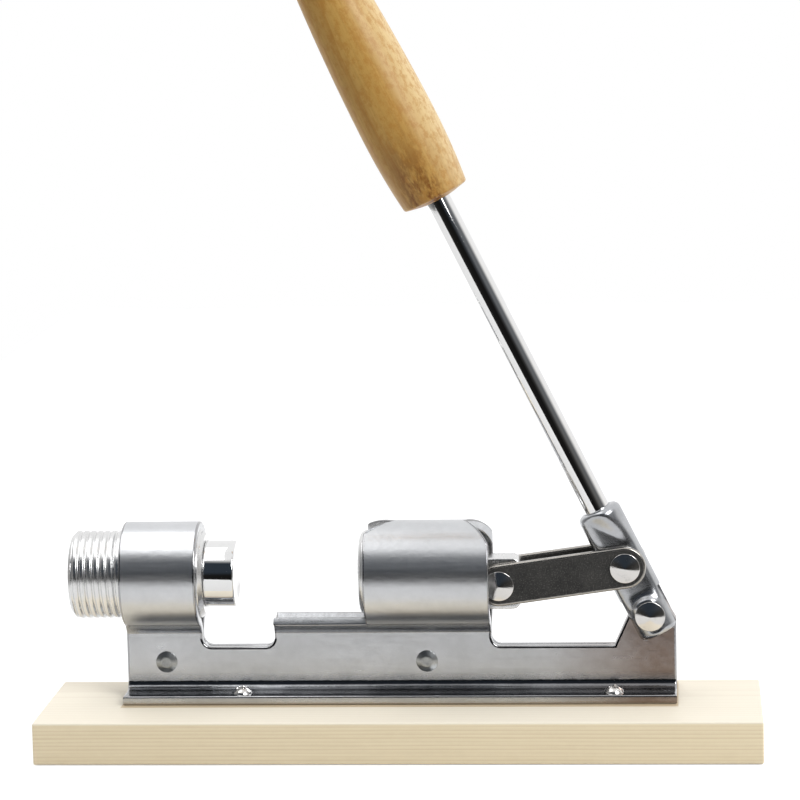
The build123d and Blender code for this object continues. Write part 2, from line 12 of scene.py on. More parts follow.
import bmesh
import bpy
import numpy as np
from mathutils import Matrix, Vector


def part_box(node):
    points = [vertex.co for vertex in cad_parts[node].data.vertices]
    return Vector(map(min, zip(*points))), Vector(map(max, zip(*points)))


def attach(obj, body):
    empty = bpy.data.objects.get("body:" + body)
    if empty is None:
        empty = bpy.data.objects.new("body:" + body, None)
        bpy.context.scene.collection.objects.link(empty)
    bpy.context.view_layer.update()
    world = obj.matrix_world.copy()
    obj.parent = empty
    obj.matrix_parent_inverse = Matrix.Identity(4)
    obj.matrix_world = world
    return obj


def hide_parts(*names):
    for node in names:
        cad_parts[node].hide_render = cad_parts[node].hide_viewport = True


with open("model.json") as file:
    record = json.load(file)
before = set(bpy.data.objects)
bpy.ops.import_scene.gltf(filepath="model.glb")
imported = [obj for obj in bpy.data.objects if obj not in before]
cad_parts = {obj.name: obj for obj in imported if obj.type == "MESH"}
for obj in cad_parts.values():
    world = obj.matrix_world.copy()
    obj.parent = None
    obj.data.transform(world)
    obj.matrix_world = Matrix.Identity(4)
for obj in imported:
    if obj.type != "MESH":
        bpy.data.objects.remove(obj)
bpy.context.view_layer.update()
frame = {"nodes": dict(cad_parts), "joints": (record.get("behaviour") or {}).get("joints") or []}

LOG = logging.getLogger("nutcracker")
MM = 0.001
WELD = 2e-6  # metres within which points become one
SLIVER = 1e-7  # metres below which an edge is dropped
ROUND = 96  # points round a large turned piece
WHITE = (1.0, 1.0, 1.0)

Array = np.ndarray
Material = bpy.types.Material
Socket = bpy.types.NodeSocket
Feed = Union[float, Sequence[float], Socket]
Span = tuple[float, float]
Triple = tuple[float, float, float]


class Side(Enum):
    """Which side of the frame's mid-plane a piece is on."""

    NEAR = -1
    FAR = 1


class Fold(Enum):
    """How far the sheet goes on above its web."""

    BARREL = "barrel"
    CRADLE = "cradle"
    PLAIN = "plain"


class Run(IntEnum):
    """Pieces of the folded sheet's section, from a flange's edge to the barrel's top."""

    FLANGE = 0
    BEND = 1
    WEB = 2
    CREASE = 3
    NECK = 4
    BARREL = 5
    END = 6


class Slot(Enum):
    """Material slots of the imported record."""

    PINE = "pine"
    SHEET = "steel_sheet"
    TURNED = "turned_metal"
    CHROME = "bright_chrome"
    DARK = "dark_steel"
    CAST = "cast_socket"
    FASTENER = "fastener"
    HANDLE = "handle_wood"


Looks = dict[Slot, Material]


class NodeBox:
    """Box of a node at rest, in millimetres."""

    def __init__(self, name: str) -> None:
        """Reads the box of a named node."""
        self.low, self.high = (np.array(corner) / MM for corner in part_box(name))
        self.middle, self.half = (self.low + self.high) / 2, (self.high - self.low) / 2


def joint_place(name: str) -> Array:
    """Place of a joint at rest, in millimetres."""
    return np.array(next(j for j in frame["joints"] if j["name"] == name)["pos_m"]) / MM


def metres(lengths: Sequence[float]) -> list[float]:
    """Millimetres made metres."""
    return [x * MM for x in lengths]


def unit(vector: Sequence[float]) -> Array:
    """A vector made one long."""
    return np.array(vector) / np.linalg.norm(vector)


def smooth_step(value: Array) -> Array:
    """Eases 0 to 1 with level ends: 3 t squared less 2 t cubed."""
    t = np.clip(value, 0.0, 1.0)
    return t * t * (3.0 - 2.0 * t)


def grid_quads(rows: int, columns: int, wrap: bool) -> Array:
    """Numbers the quads of a grid of points.

    Args:
        rows: Count of rows.
        columns: Count of columns.
        wrap: Whether the last column joins the first.

    Returns:
        Corner numbers, four to a quad.
    """
    row, column = np.meshgrid(np.arange(rows - 1), np.arange(columns if wrap else columns - 1), indexing="ij")
    this, beside = row * columns + column, row * columns + (column + 1) % columns
    return np.stack([this, beside, beside + columns, this + columns], axis=-1).reshape(-1, 4)


def rounded_path(corners: Sequence[Triple], steps: int = 6, closed: bool = False) -> Array:
    """Draws a line whose corners are arcs.

    At a corner with half angle h between its two sides, the arc of radius r has its centre r / sin h along
    the bisector, and turns through 180 degrees less the corner's angle.

    Args:
        corners: Place and radius of each corner; a radius of 0 keeps it sharp.
        steps: Points on an arc, less one.
        closed: Whether the last corner joins the first.

    Returns:
        Points along the line, two numbers each.
    """
    places = np.array([c[:2] for c in corners], float)
    pieces = []
    for k, (place, corner) in enumerate(zip(places, corners)):
        inner = closed or 0 < k < len(corners) - 1
        if corner[2] <= 0.0 or not inner:
            pieces.append(place[None])
            continue
        back, ahead = unit(places[k - 1] - place), unit(places[(k + 1) % len(places)] - place)
        bisector = unit(back + ahead)
        half = np.arccos(np.clip(bisector @ ahead, -1.0, 1.0))
        centre = place + bisector * corner[2] / np.sin(half)
        turn = np.sign(back[0] * ahead[1] - back[1] * ahead[0])
        sweep = np.linspace(-1.0, 1.0, steps + 1)[:, None] * (np.pi / 2 - half) * -turn
        spoke = -bisector * corner[2]
        pieces.append(centre + np.cos(sweep) * spoke + np.sin(sweep) * np.array([-spoke[1], spoke[0]]))
    return np.concatenate(pieces)


def mirrored(profile: Array) -> Array:
    """A profile of distance and radius, with its mirror image before it."""
    return np.concatenate([profile[::-1] * np.array([-1, 1]), profile])


def smooth_curve(points: Array, first: Span, last: Span, steps: int) -> Array:
    """Carries a smooth line through points.

    Each stretch is a cubic with the points as its ends; inner slopes are those of the chord between
    neighbours, and the end slopes are given.

    Args:
        points: Places that the line passes.
        first: Direction at the start.
        last: Direction at the end.
        steps: Points on each stretch.

    Returns:
        Points along the line.
    """
    chord = np.linalg.norm(np.diff(points, axis=0), axis=1)
    inner = (points[2:] - points[:-2]) / (chord[1:] + chord[:-1])[:, None]
    slopes = np.concatenate([[unit(first)], inner, [unit(last)]])
    t = np.linspace(0.0, 1.0, steps, endpoint=False)[None, :, None]
    rise, fall = slopes[:-1, None] * chord[:, None, None], slopes[1:, None] * chord[:, None, None]
    start, end = points[:-1, None], points[1:, None]
    body = ((2 * t**3 - 3 * t**2 + 1) * start + (t**3 - 2 * t**2 + t) * rise
            + (3 * t**2 - 2 * t**3) * end + (t**3 - t**2) * fall)
    return np.concatenate([body.reshape(-1, 2), points[-1:]])


class FoldLine:
    """A bent sheet seen end on: straight runs and round bends that follow one another.

    Piece k starts at p with heading h and curvature c. At distance d into it the point is
    p + (sin(h + c d) - sin h, cos h - cos(h + c d)) / c, or p + d (cos h, sin h) where it is straight.
    """

    def __init__(self, start: Span, heading: float, pieces: Sequence[Span]) -> None:
        """Sets out the pieces.

        Args:
            start: First point.
            heading: Direction at the start, in degrees.
            pieces: Length of each piece and the turn it makes, in degrees.
        """
        self._lengths = np.array([p[0] for p in pieces], float)
        turns = np.radians([p[1] for p in pieces])
        self._curves = turns / self._lengths
        self._headings = np.radians(heading) + np.concatenate([[0.0], np.cumsum(turns)[:-1]])
        strides = self._advance(self._headings, self._curves, self._lengths)
        self._starts = np.array(start) + np.concatenate([[[0.0, 0.0]], np.cumsum(strides, axis=0)[:-1]])

    @staticmethod
    def _advance(heading: Array, curve: Array, distance: Array) -> Array:
        """Step from the start of a piece to a distance into it.

        Args:
            heading: Direction at the piece's start.
            curve: The piece's curvature.
            distance: How far to go.

        Returns:
            The step's two numbers.
        """
        straight = np.abs(curve) < 1e-9
        safe = np.where(straight, 1.0, curve)
        end = heading + curve * distance
        along = np.where(straight, distance * np.cos(heading), (np.sin(end) - np.sin(heading)) / safe)
        up = np.where(straight, distance * np.sin(heading), (np.cos(heading) - np.cos(end)) / safe)
        return np.stack([along, up], axis=-1)

    def at(self, place: Array) -> Array:
        """Points on the line.

        Args:
            place: A piece's number plus the share of it that is passed, for each point.

        Returns:
            The points.
        """
        piece = np.clip(np.floor(place).astype(int), 0, len(self._lengths) - 1)
        distance = (place - piece) * self._lengths[piece]
        return self._starts[piece] + self._advance(self._headings[piece], self._curves[piece], distance)


@dataclass(frozen=True)
class Axle:
    """A turning axis with a starting point."""

    origin: Sequence[float]
    along: Sequence[float]

    def directions(self) -> tuple[Array, Array, Array]:
        """Unit vectors along the axis and across it.

        Returns:
            One vector along it and two across.
        """
        along = unit(self.along)
        across = unit(np.cross(along, (0, 1, 0) if abs(along[1]) < 0.9 else (0, 0, 1)))
        return along, across, np.cross(along, across)

    def lean(self) -> float:
        """Angle from upright towards the left, in degrees."""
        return float(np.degrees(np.arcsin(-self.directions()[0][0])))

    def place(self, distance: Array, radius: Array, angle: Array) -> Array:
        """Points about the axis: o + d a + r (cos t b + sin t c).

        Args:
            distance: Distance along the axis.
            radius: Distance out from it.
            angle: Angle round it.

        Returns:
            The points.
        """
        along, across, third = self.directions()
        outward = np.cos(angle)[..., None] * across + np.sin(angle)[..., None] * third
        return np.array(self.origin) + distance[..., None] * along + radius[..., None] * outward

    def turned(self, profile: Array, turns: int = ROUND) -> Array:
        """Carries a profile of distance and radius once round the axis.

        Args:
            profile: Distance along the axis and radius of each point.
            turns: Points round the axis.

        Returns:
            Grid of points, one row to each point of the profile.
        """
        angle = np.linspace(0.0, 2 * np.pi, turns, endpoint=False)
        return self.place(*np.broadcast_arrays(profile[:, :1], profile[:, 1:], angle[None]))


def lever_axle() -> Axle:
    """The lever's axis, from its pivot through the pin of the links."""
    pivot = joint_place("lever_swing")
    return Axle(pivot, joint_place("link_pivot") - pivot)


def dished(rim: float, depth: float, face: float, inwards: float, steps: int = 10) -> Array:
    """Profile of a round cup sunk into a face, from its rim to its middle.

    The ball that cuts it has radius (rim squared + depth squared) / (2 depth).

    Args:
        rim: Radius of the cup's mouth.
        depth: Depth at the middle.
        face: Place of the face along the axis.
        inwards: Direction of the cup, 1 or -1.
        steps: Points on the profile.

    Returns:
        Distance along the axis and radius of each point.
    """
    ball = (rim**2 + depth**2) / (2 * depth)
    radius = np.linspace(rim, 0.0, steps)
    sunk = np.sqrt(ball**2 - radius**2) - (ball - depth)
    return np.stack([face + inwards * sunk, radius], axis=-1)


def plate(outline: Array, low: float, high: float, edge: float, worn_width: float = 0.6,
          steps: int = 4) -> tuple[Array, Array]:
    """Makes a flat plate with rounded edges from its outline.

    A point of the edge stands in from the outline by e (1 - sin a) and below the face by e (1 - cos a), for
    a from 0 to 90 degrees and e the edge's radius. The faces close at the outline's middle.

    Args:
        outline: Closed line in the plate's plane, anticlockwise.
        low: One face's depth.
        high: The other face's depth.
        edge: Radius of the edges.
        worn_width: How far edge wear runs on to the faces.
        steps: Points on an edge, less one.

    Returns:
        Grid of points as the outline's two numbers and the depth, and the wear at each.
    """
    ahead = np.roll(outline, -1, axis=0) - np.roll(outline, 1, axis=0)
    ahead /= np.linalg.norm(ahead, axis=1)[:, None]
    outward = np.stack([ahead[:, 1], -ahead[:, 0]], axis=-1)
    angle = np.linspace(0.0, np.pi / 2, steps + 1)
    inset, drop = edge * (1 - np.sin(angle)), edge * (1 - np.cos(angle))
    inset = np.concatenate([[edge + worn_width], inset, inset[::-1], [edge + worn_width]])
    middle = np.broadcast_to(outline.mean(axis=0), (1, *outline.shape))
    rings = np.concatenate([middle, outline[None] - inset[:, None, None] * outward[None], middle])
    depth = np.concatenate([[low, low], low + drop, high - drop[::-1], [high, high]])
    worn = np.ones(len(depth))
    worn[[0, 1, -2, -1]] = 0.0
    points = np.concatenate([rings, np.broadcast_to(depth[:, None, None], (*rings.shape[:2], 1))], axis=-1)
    return points, np.broadcast_to(worn[:, None], rings.shape[:2])


def rolled_sheet(outer: Array, inner: Array, quads: Array, sheen: Array, radius: float, steps: int = 6,
                 drawn: float = 1.25, bare: float = 0.1) -> tuple[Array, Array, Array]:
    """Joins two skins into a sheet whose free edges are rounded.

    At a free edge t points out of the sheet and n from the inner skin p' to the outer one p. Both skins are
    drawn back, and the edge runs through p - r (1 - sin a) t - r (1 - cos a) n for a from 0 to 90 degrees,
    and through the same from p' on the other side. Where two edges meet, t is (t1 + t2) / (1 + t1 . t2).

    Args:
        outer: Points of the outer skin.
        inner: Points of the inner skin, in the same order.
        quads: Quads of the outer skin, anticlockwise from outside.
        sheen: How smooth each point of the skins is, from 0 to 1; the sheet's finish also paints shade by it.
        radius: Radius of the edges.
        steps: Steps on each rounded edge.
        drawn: How far the skins are drawn back, in radii.
        bare: Wear along the middle of a cut edge.

    Returns:
        Points, quads, and the wear at each point: 1 on the edges and at most a half on the skins.
    """
    edges = np.stack([quads, np.roll(quads, -1, axis=1)], axis=-1).reshape(-1, 2)
    edges = edges[edges[:, 0] != edges[:, 1]]
    _, first, uses = np.unique(np.sort(edges, axis=1), axis=0, return_index=True, return_counts=True)
    free = edges[first[uses == 1]]
    normal = outer - inner
    normal /= np.linalg.norm(normal, axis=1, keepdims=True)
    out = np.cross(outer[free[:, 1]] - outer[free[:, 0]], normal[free[:, 0]] + normal[free[:, 1]])
    out /= np.linalg.norm(out, axis=1, keepdims=True)
    total = np.zeros_like(outer)
    np.add.at(total, free.ravel(), np.repeat(out, 2, axis=0))
    size, least = np.sum(total**2, axis=1, keepdims=True), 0.6  # below the least, a point has no free edge
    out = np.where(size > least, 2.0 * total / np.maximum(size, least), 0.0)
    angle = np.linspace(0.0, np.pi / 2, steps + 1)[:, None, None]
    back, down = radius * (1 - np.sin(angle)) * out, radius * (1 - np.cos(angle)) * normal
    far_back = drawn * radius * out
    rows = np.concatenate([[outer - far_back], outer - back - down,
                           (inner - back + down)[::-1], [inner - far_back]])
    count = len(outer)
    this, beside = (np.arange(len(rows) - 1)[:, None] * count + free[:, k] for k in (1, 0))
    rim = np.stack([this, beside, beside + count, this + count], axis=-1).reshape(-1, 4)
    worn = np.ones((len(rows), count))
    worn[[0, -1]] = sheen / 2
    worn[[steps + 1, steps + 2]] = bare
    skins = [quads, quads[:, ::-1] + (len(rows) - 1) * count]
    return rows.reshape(-1, 3), np.concatenate([*skins, rim]), worn.reshape(-1)


class Shell:
    """Gathers grids of points into one closed mesh, and makes it a piece of the model."""

    def __init__(self) -> None:
        """Starts empty."""
        self._points: list[Array] = []
        self._quads: list[Array] = []
        self._worn: list[Array] = []
        self._count = 0

    def grid(self, points: Array, worn: Optional[Array] = None, wrap: bool = True) -> "Shell":
        """Adds a surface.

        Args:
            points: Rows of points.
            worn: Edge wear at each point, from 0 to 1.
            wrap: Whether the last column joins the first.

        Returns:
            The shell itself.
        """
        rows, columns = points.shape[:2]
        wear = np.zeros((rows, columns)) if worn is None else worn
        return self.net(points.reshape(-1, 3), grid_quads(rows, columns, wrap), wear.reshape(-1))

    def net(self, points: Array, quads: Array, worn: Array) -> "Shell":
        """Adds points and the quads between them.

        Args:
            points: The points.
            quads: Their numbers, four to a quad.
            worn: Edge wear at each point, from 0 to 1.

        Returns:
            The shell itself.
        """
        self._points.append(points)
        self._quads.append(quads + self._count)
        self._worn.append(worn)
        self._count += len(points)
        return self

    def mesh(self, name: str) -> bpy.types.Mesh:
        """Writes the points that have quads, welds seams and poles, and turns the faces outwards.

        Args:
            name: The mesh's name.

        Returns:
            The mesh.
        """
        used, quads = np.unique(np.concatenate(self._quads), return_inverse=True)
        points, quads = np.concatenate(self._points)[used] * MM, quads.reshape(-1, 4)
        made = bpy.data.meshes.new(name)
        made.vertices.add(len(points))
        made.vertices.foreach_set("co", points.astype(np.float32).ravel())
        made.loops.add(quads.size)
        made.loops.foreach_set("vertex_index", quads.astype(np.int32).ravel())
        made.polygons.add(len(quads))
        made.polygons.foreach_set("loop_start", np.arange(0, quads.size, 4, dtype=np.int32))
        worn = made.attributes.new("worn", "FLOAT", "POINT")
        worn.data.foreach_set("value", np.concatenate(self._worn)[used].astype(np.float32))
        made.update(calc_edges=True)
        net = bmesh.new()
        net.from_mesh(made)
        bmesh.ops.remove_doubles(net, verts=net.verts, dist=WELD)
        bmesh.ops.dissolve_degenerate(net, edges=net.edges, dist=SLIVER)
        bmesh.ops.recalc_face_normals(net, faces=net.faces)
        net.to_mesh(made)
        net.free()
        return made

    def piece(self, node: str, body: str, slot: Slot, looks: Looks, sharp: float) -> None:
        """Makes the mesh a piece in place of a node.

        Args:
            node: The node's name.
            body: Body that it rides on.
            slot: Record's material slot.
            looks: Material of each slot.
            sharp: Angle in degrees past which an edge is shaded as a corner.
        """
        mesh = self.mesh(node + "_mesh")
        mesh.polygons.foreach_set("use_smooth", np.ones(len(mesh.polygons), bool))
        mesh.set_sharp_from_angle(angle=np.radians(sharp))
        mesh.materials.append(looks[slot])
        made = bpy.data.objects.new(node + "_look", mesh)
        bpy.context.scene.collection.objects.link(made)
        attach(made, body)
        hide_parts(node)
        LOG.info("%s: %d faces on %s", made.name, len(mesh.polygons), body)


class Wiring:
    """Adds nodes to one tree and joins them up."""

    def __init__(self, tree: bpy.types.NodeTree) -> None:
        """Works in the given tree."""
        self.tree = tree

    @classmethod
    def afresh(cls, owner: Union[Material, bpy.types.World]) -> "Wiring":
        """Empties the tree of a material or world and works in it.

        Args:
            owner: The material or world.

        Returns:
            The wiring.
        """
        owner.use_nodes = True
        owner.node_tree.nodes.clear()
        return cls(owner.node_tree)

    def node(self, kind: str, feeds: Optional[dict[Union[int, str], Feed]] = None,
             **settings: Any) -> bpy.types.Node:
        """Adds a node.

        Args:
            kind: Node type without its prefix.
            feeds: Value or socket for each input; a colour is three numbers.
            settings: Properties to set.

        Returns:
            The node.
        """
        made = self.tree.nodes.new(kind if kind.startswith("Node") else "ShaderNode" + kind)
        for key, value in settings.items():
            setattr(made, key, value)
        for key, value in (feeds or {}).items():
            socket = made.inputs[key]
            if isinstance(value, Socket):
                self.tree.links.new(value, socket)
            else:
                socket.default_value = (*value, 1.0) if socket.type == "RGBA" else value
        return made

    def math(self, operation: str, first: Feed, second: Feed = 0.0) -> Socket:
        """One sum of two numbers."""
        return self.node("Math", {0: first, 1: second}, operation=operation).outputs[0]

    def times(self, first: Feed, second: Feed) -> Socket:
        """The product of two numbers."""
        return self.math("MULTIPLY", first, second)

    def blend(self, share: Feed, first: Feed, second: Feed) -> Socket:
        """One colour turning into another."""
        return self.node("Mix", {0: share, 6: first, 7: second}, data_type="RGBA").outputs[2]

    def remap(self, value: Feed, low: Feed, high: Feed, new_low: Feed = 0.0, new_high: Feed = 1.0,
              smooth: bool = False) -> Socket:
        """A range of numbers carried on to another, held at its ends."""
        feeds = dict(enumerate((value, low, high, new_low, new_high)))
        course = "SMOOTHSTEP" if smooth else "LINEAR"
        return self.node("MapRange", feeds, interpolation_type=course).outputs[0]

    def between(self, share: Feed, first: float, second: float) -> Socket:
        """One number turning into another as a share goes from 0 to 1."""
        return self.remap(share, 0.0, 1.0, first, second)

    def seen(self, mirrored_share: Feed) -> Socket:
        """One for rays from the camera or through glass, and for mirrored rays the given share."""
        rays = self.node("LightPath").outputs
        return self.math("MAXIMUM", self.math("MAXIMUM", rays["Is Camera Ray"], rays["Is Transmission Ray"]),
                         self.times(rays["Is Glossy Ray"], mirrored_share))

    def noise(self, vector: Feed, scale: Feed, detail: float = 4.0, rough: float = 0.55) -> Socket:
        """Cloudy noise about one half."""
        feeds = {"Vector": vector, "Scale": scale, "Detail": detail, "Roughness": rough}
        return self.node("TexNoise", feeds).outputs[0]

    def stretched(self, vector: Feed, scale: Feed) -> Socket:
        """A vector with each axis scaled."""
        return self.node("VectorMath", {0: vector, 1: scale}, operation="MULTIPLY").outputs[0]

    def parts(self, vector: Feed) -> Sequence[Socket]:
        """The three numbers of a vector."""
        return self.node("SeparateXYZ", {0: vector}).outputs


class Effects:
    """Shader node groups that several finishes share."""

    def __init__(self) -> None:
        """Builds each group once."""
        self.mottle = self._mottle()
        self.streaks = self._streaks()
        self.wear = self._wear()
        self.grain = self._grain()

    @staticmethod
    def _open(name: str, inputs: dict[str, str], outputs: Sequence[str]) -> tuple[Wiring, Sequence[Socket]]:
        """Starts a group with its sockets.

        Args:
            name: Group's name.
            inputs: Socket type of each input.
            outputs: Names of the numbers it puts out.

        Returns:
            The wiring of the group, and what it is given.
        """
        tree = bpy.data.node_groups.new(name, "ShaderNodeTree")
        for key, kind in inputs.items():
            tree.interface.new_socket(name=key, in_out="INPUT", socket_type="NodeSocket" + kind)
        for key in outputs:
            tree.interface.new_socket(name=key, in_out="OUTPUT", socket_type="NodeSocketFloat")
        wiring = Wiring(tree)
        return wiring, wiring.node("NodeGroupInput").outputs

    @staticmethod
    def _close(w: Wiring, *values: Socket) -> bpy.types.NodeTree:
        """Leads the values out of a group, and hands it over."""
        w.node("NodeGroupOutput", dict(enumerate(values)))
        return w.tree

    def _mottle(self) -> bpy.types.NodeTree:
        """Cloudy patches with finer ones over them.

        Returns:
            The group.
        """
        w, (place, scale, *_) = self._open("mottle", {"Vector": "Vector", "Scale": "Float"}, ["Value"])
        broad, fine = w.noise(place, scale, 3.0), w.noise(place, w.times(scale, 5.3), 5.0, 0.65)
        return self._close(w, w.remap(w.math("ADD", w.times(broad, 0.6), w.times(fine, 0.4)), 0.32, 0.68))

    def _streaks(self) -> bpy.types.NodeTree:
        """Fine lines drawn out along the axis with the smallest stretch."""
        w, (place, stretch, *_) = self._open("streaks", {"Vector": "Vector", "Stretch": "Vector"}, ["Value"])
        return self._close(w, w.remap(w.noise(w.stretched(place, stretch), 1.0, 6.0, 0.7), 0.35, 0.65))

    def _wear(self) -> bpy.types.NodeTree:
        """Rubbed parts: full wear broken up by noise, and a sheen that half the wear already has, which also
        places painted shade.

        Returns:
            The group.
        """
        w, (place, scale, *_) = self._open("edge_wear", {"Vector": "Vector", "Scale": "Float"},
                                           ["Mask", "Sheen"])
        edge = w.node("Attribute", attribute_name="worn", attribute_type="GEOMETRY").outputs["Fac"]
        broken = w.remap(w.noise(place, scale, 5.0, 0.6), 0.3, 0.7, 0.8, 1.2)
        return self._close(w, w.remap(w.times(edge, broken), 0.6, 0.95, smooth=True), w.remap(edge, 0.0, 0.5))

    def _grain(self) -> bpy.types.NodeTree:
        """Growth rings about the X axis, uneven from year to year, and fibres along it.

        Returns:
            The group.
        """
        sockets = {"Vector": "Vector", "Ring": "Float", "Wobble": "Float"}
        w, (place, ring, wobble, *_) = self._open("wood_grain", sockets, ["Rings", "Fibres"])
        bent = w.noise(w.stretched(place, (6.0, 40.0, 40.0)), 1.0, 3.0)
        uneven = w.noise(w.stretched(place, (2.0, 350.0, 350.0)), 1.0, 2.0)
        sway = w.math("ADD", w.math("SUBTRACT", bent, 0.5), w.times(w.math("SUBTRACT", uneven, 0.5), 0.4))
        flat = w.stretched(place, (0.0, 1.0, 1.0))
        reach = w.node("VectorMath", {0: flat}, operation="LENGTH").outputs["Value"]
        years = w.math("DIVIDE", w.math("ADD", reach, w.times(sway, wobble)), ring)
        year = w.node("CombineXYZ", {0: w.times(w.math("FLOOR", years), 0.37)}).outputs[0]
        strength = w.remap(w.noise(year, 1.0, 1.0), 0.35, 0.65, 0.35, 1.0)
        turn = w.math("FRACT", years)
        early = w.times(w.math("POWER", turn, 3.2), strength)
        late = w.remap(turn, 0.93, 1.0, 1.0, 0.0, smooth=True)
        fibre = w.noise(w.stretched(place, (30.0, 1500.0, 1500.0)), 1.0, 4.0, 0.6)
        return self._close(w, w.times(early, late), w.remap(fibre, 0.3, 0.7))


class Finish:
    """A material that is being wired: its shader, its coordinates and the shared effects."""

    def __init__(self, name: str, effects: Effects, **shader: float) -> None:
        """Starts a material.

        Args:
            name: Material's name.
            effects: Shared node groups.
            shader: Plain values for the shader's sockets, with underscores for spaces.
        """
        self.material = bpy.data.materials.new(name)
        self.wiring = Wiring.afresh(self.material)
        self.effects = effects
        self.shader = self.wiring.node("BsdfPrincipled", {k.replace("_", " "): v for k, v in shader.items()})
        self.wiring.node("OutputMaterial", {"Surface": self.shader.outputs[0]})
        self.place = self.wiring.node("TexCoord").outputs["Object"]

    def effect(self, group: bpy.types.NodeTree, output: int = 0, **feeds: Feed) -> Socket:
        """Places a shared effect with its own values."""
        return self.wiring.node("Group", {"Vector": self.place, **feeds}, node_tree=group).outputs[output]

    def clouds(self, along: Socket, draw: float, scale: float) -> Socket:
        """Mottling that is drawn out along the first axis."""
        drawn = self.wiring.stretched(along, (draw, 1.0, 1.0))
        return self.effect(self.effects.mottle, Vector=drawn, Scale=scale)

    def feed(self, name: str, value: Socket) -> None:
        """Leads a socket into the shader."""
        self.wiring.tree.links.new(value, self.shader.inputs[name])

    def bump(self, height: Socket, depth: float, strength: float = 1.0) -> None:
        """Raises the surface by a height, with the full height's depth in millimetres."""
        feeds = {"Height": height, "Distance": depth * MM, "Strength": strength}
        self.feed("Normal", self.wiring.node("Bump", feeds).outputs[0])


@dataclass(frozen=True)
class MetalFinish:
    """A metal's colours and the make of its surface."""

    name: str
    dull: Triple
    bright: Triple
    polish: float
    haze: float
    patch: float
    stretch: Triple = (40.0, 900.0, 900.0)
    relief: float = 0.004
    wave: float = 0.0
    worn: Optional[Triple] = None
    worn_scale: float = 420.0
    sheen: float = 0.45
    # Colour of painted shade where the sheen lies.
    painted_shade: Optional[Triple] = None
    # A painted brown reflection towards the frame's right end: its colour, where along the frame it grows in,
    # its share.
    painted_reflection: Optional[Triple] = None
    reflection_reach: Span = (38.0, 84.0)
    reflection_share: float = 0.9

    def material(self, effects: Effects) -> Material:
        """Wires the finish: patches and drawn lines set colour, roughness and a faint relief.

        Args:
            effects: Shared node groups.

        Returns:
            The material.
        """
        finish = Finish(self.name, effects, Metallic=1.0)
        w = finish.wiring
        patches = finish.effect(effects.mottle, Scale=self.patch)
        lines = finish.effect(effects.streaks, Stretch=self.stretch)
        colour = w.blend(patches, self.dull, self.bright)
        cloudy = w.between(patches, self.polish + self.haze, self.polish)
        rough = w.math("ADD", cloudy, w.between(lines, 0.0, self.haze))
        # Painted reflection: a brown that grows in along the frame towards its right end.
        if self.painted_reflection is not None:
            along = w.parts(finish.place)[0]
            grown = w.remap(along, *metres(self.reflection_reach), 0.0, self.reflection_share, smooth=True)
            colour = w.blend(w.times(grown, w.between(patches, 1.15, 0.85)), colour, self.painted_reflection)
        if self.worn is not None:
            edge, smooth = finish.effect(effects.wear, Scale=self.worn_scale), finish.effect(effects.wear, 1)
            # Painted shade: the colour darkens where the sheen lies.
            if self.painted_shade is not None:
                colour = w.blend(w.times(smooth, w.between(patches, 1.0, 0.75)), colour, self.painted_shade)
            colour = w.blend(edge, colour, self.worn)
            rough = w.times(rough, w.between(smooth, 1.0, self.sheen))
        finish.feed("Base Color", colour)
        finish.feed("Roughness", rough)
        deep = self.relief + self.wave
        height = w.math("ADD", w.times(lines, self.relief / deep), w.times(patches, self.wave / deep))
        finish.bump(height, deep)
        return finish.material


@dataclass(frozen=True)
class SpeckledFinish:
    """Dark rolled steel with bright specks and rubbed edges."""

    name: str = "dark_rolled_steel"
    ground: Triple = (0.030, 0.030, 0.030)
    cloud: Triple = (0.075, 0.073, 0.070)
    cloud_scale: float = 90.0
    speck: Triple = (0.20, 0.195, 0.18)
    speck_scale: float = 2300.0
    speck_share: float = 0.6
    speck_relief: float = 0.02
    rubbed: Triple = (0.42, 0.40, 0.37)
    rubbed_scale: float = 500.0
    metallic: Span = (0.55, 1.0)
    roughness: Span = (0.48, 0.26)

    def material(self, effects: Effects) -> Material:
        """Wires the finish.

        Args:
            effects: Shared node groups.

        Returns:
            The material.
        """
        finish = Finish(self.name, effects)
        w = finish.wiring
        clouds = finish.effect(effects.mottle, Scale=self.cloud_scale)
        specks = w.remap(w.noise(finish.place, self.speck_scale, 2.0), 0.50, 0.75, smooth=True)
        edge = finish.effect(effects.wear, Scale=self.rubbed_scale)
        colour = w.blend(clouds, self.ground, self.cloud)
        colour = w.blend(w.times(specks, self.speck_share), colour, self.speck)
        finish.feed("Base Color", w.blend(edge, colour, self.rubbed))
        finish.feed("Metallic", w.between(edge, *self.metallic))
        finish.feed("Roughness", w.between(edge, *self.roughness))
        finish.bump(specks, self.speck_relief, 0.5)
        return finish.material


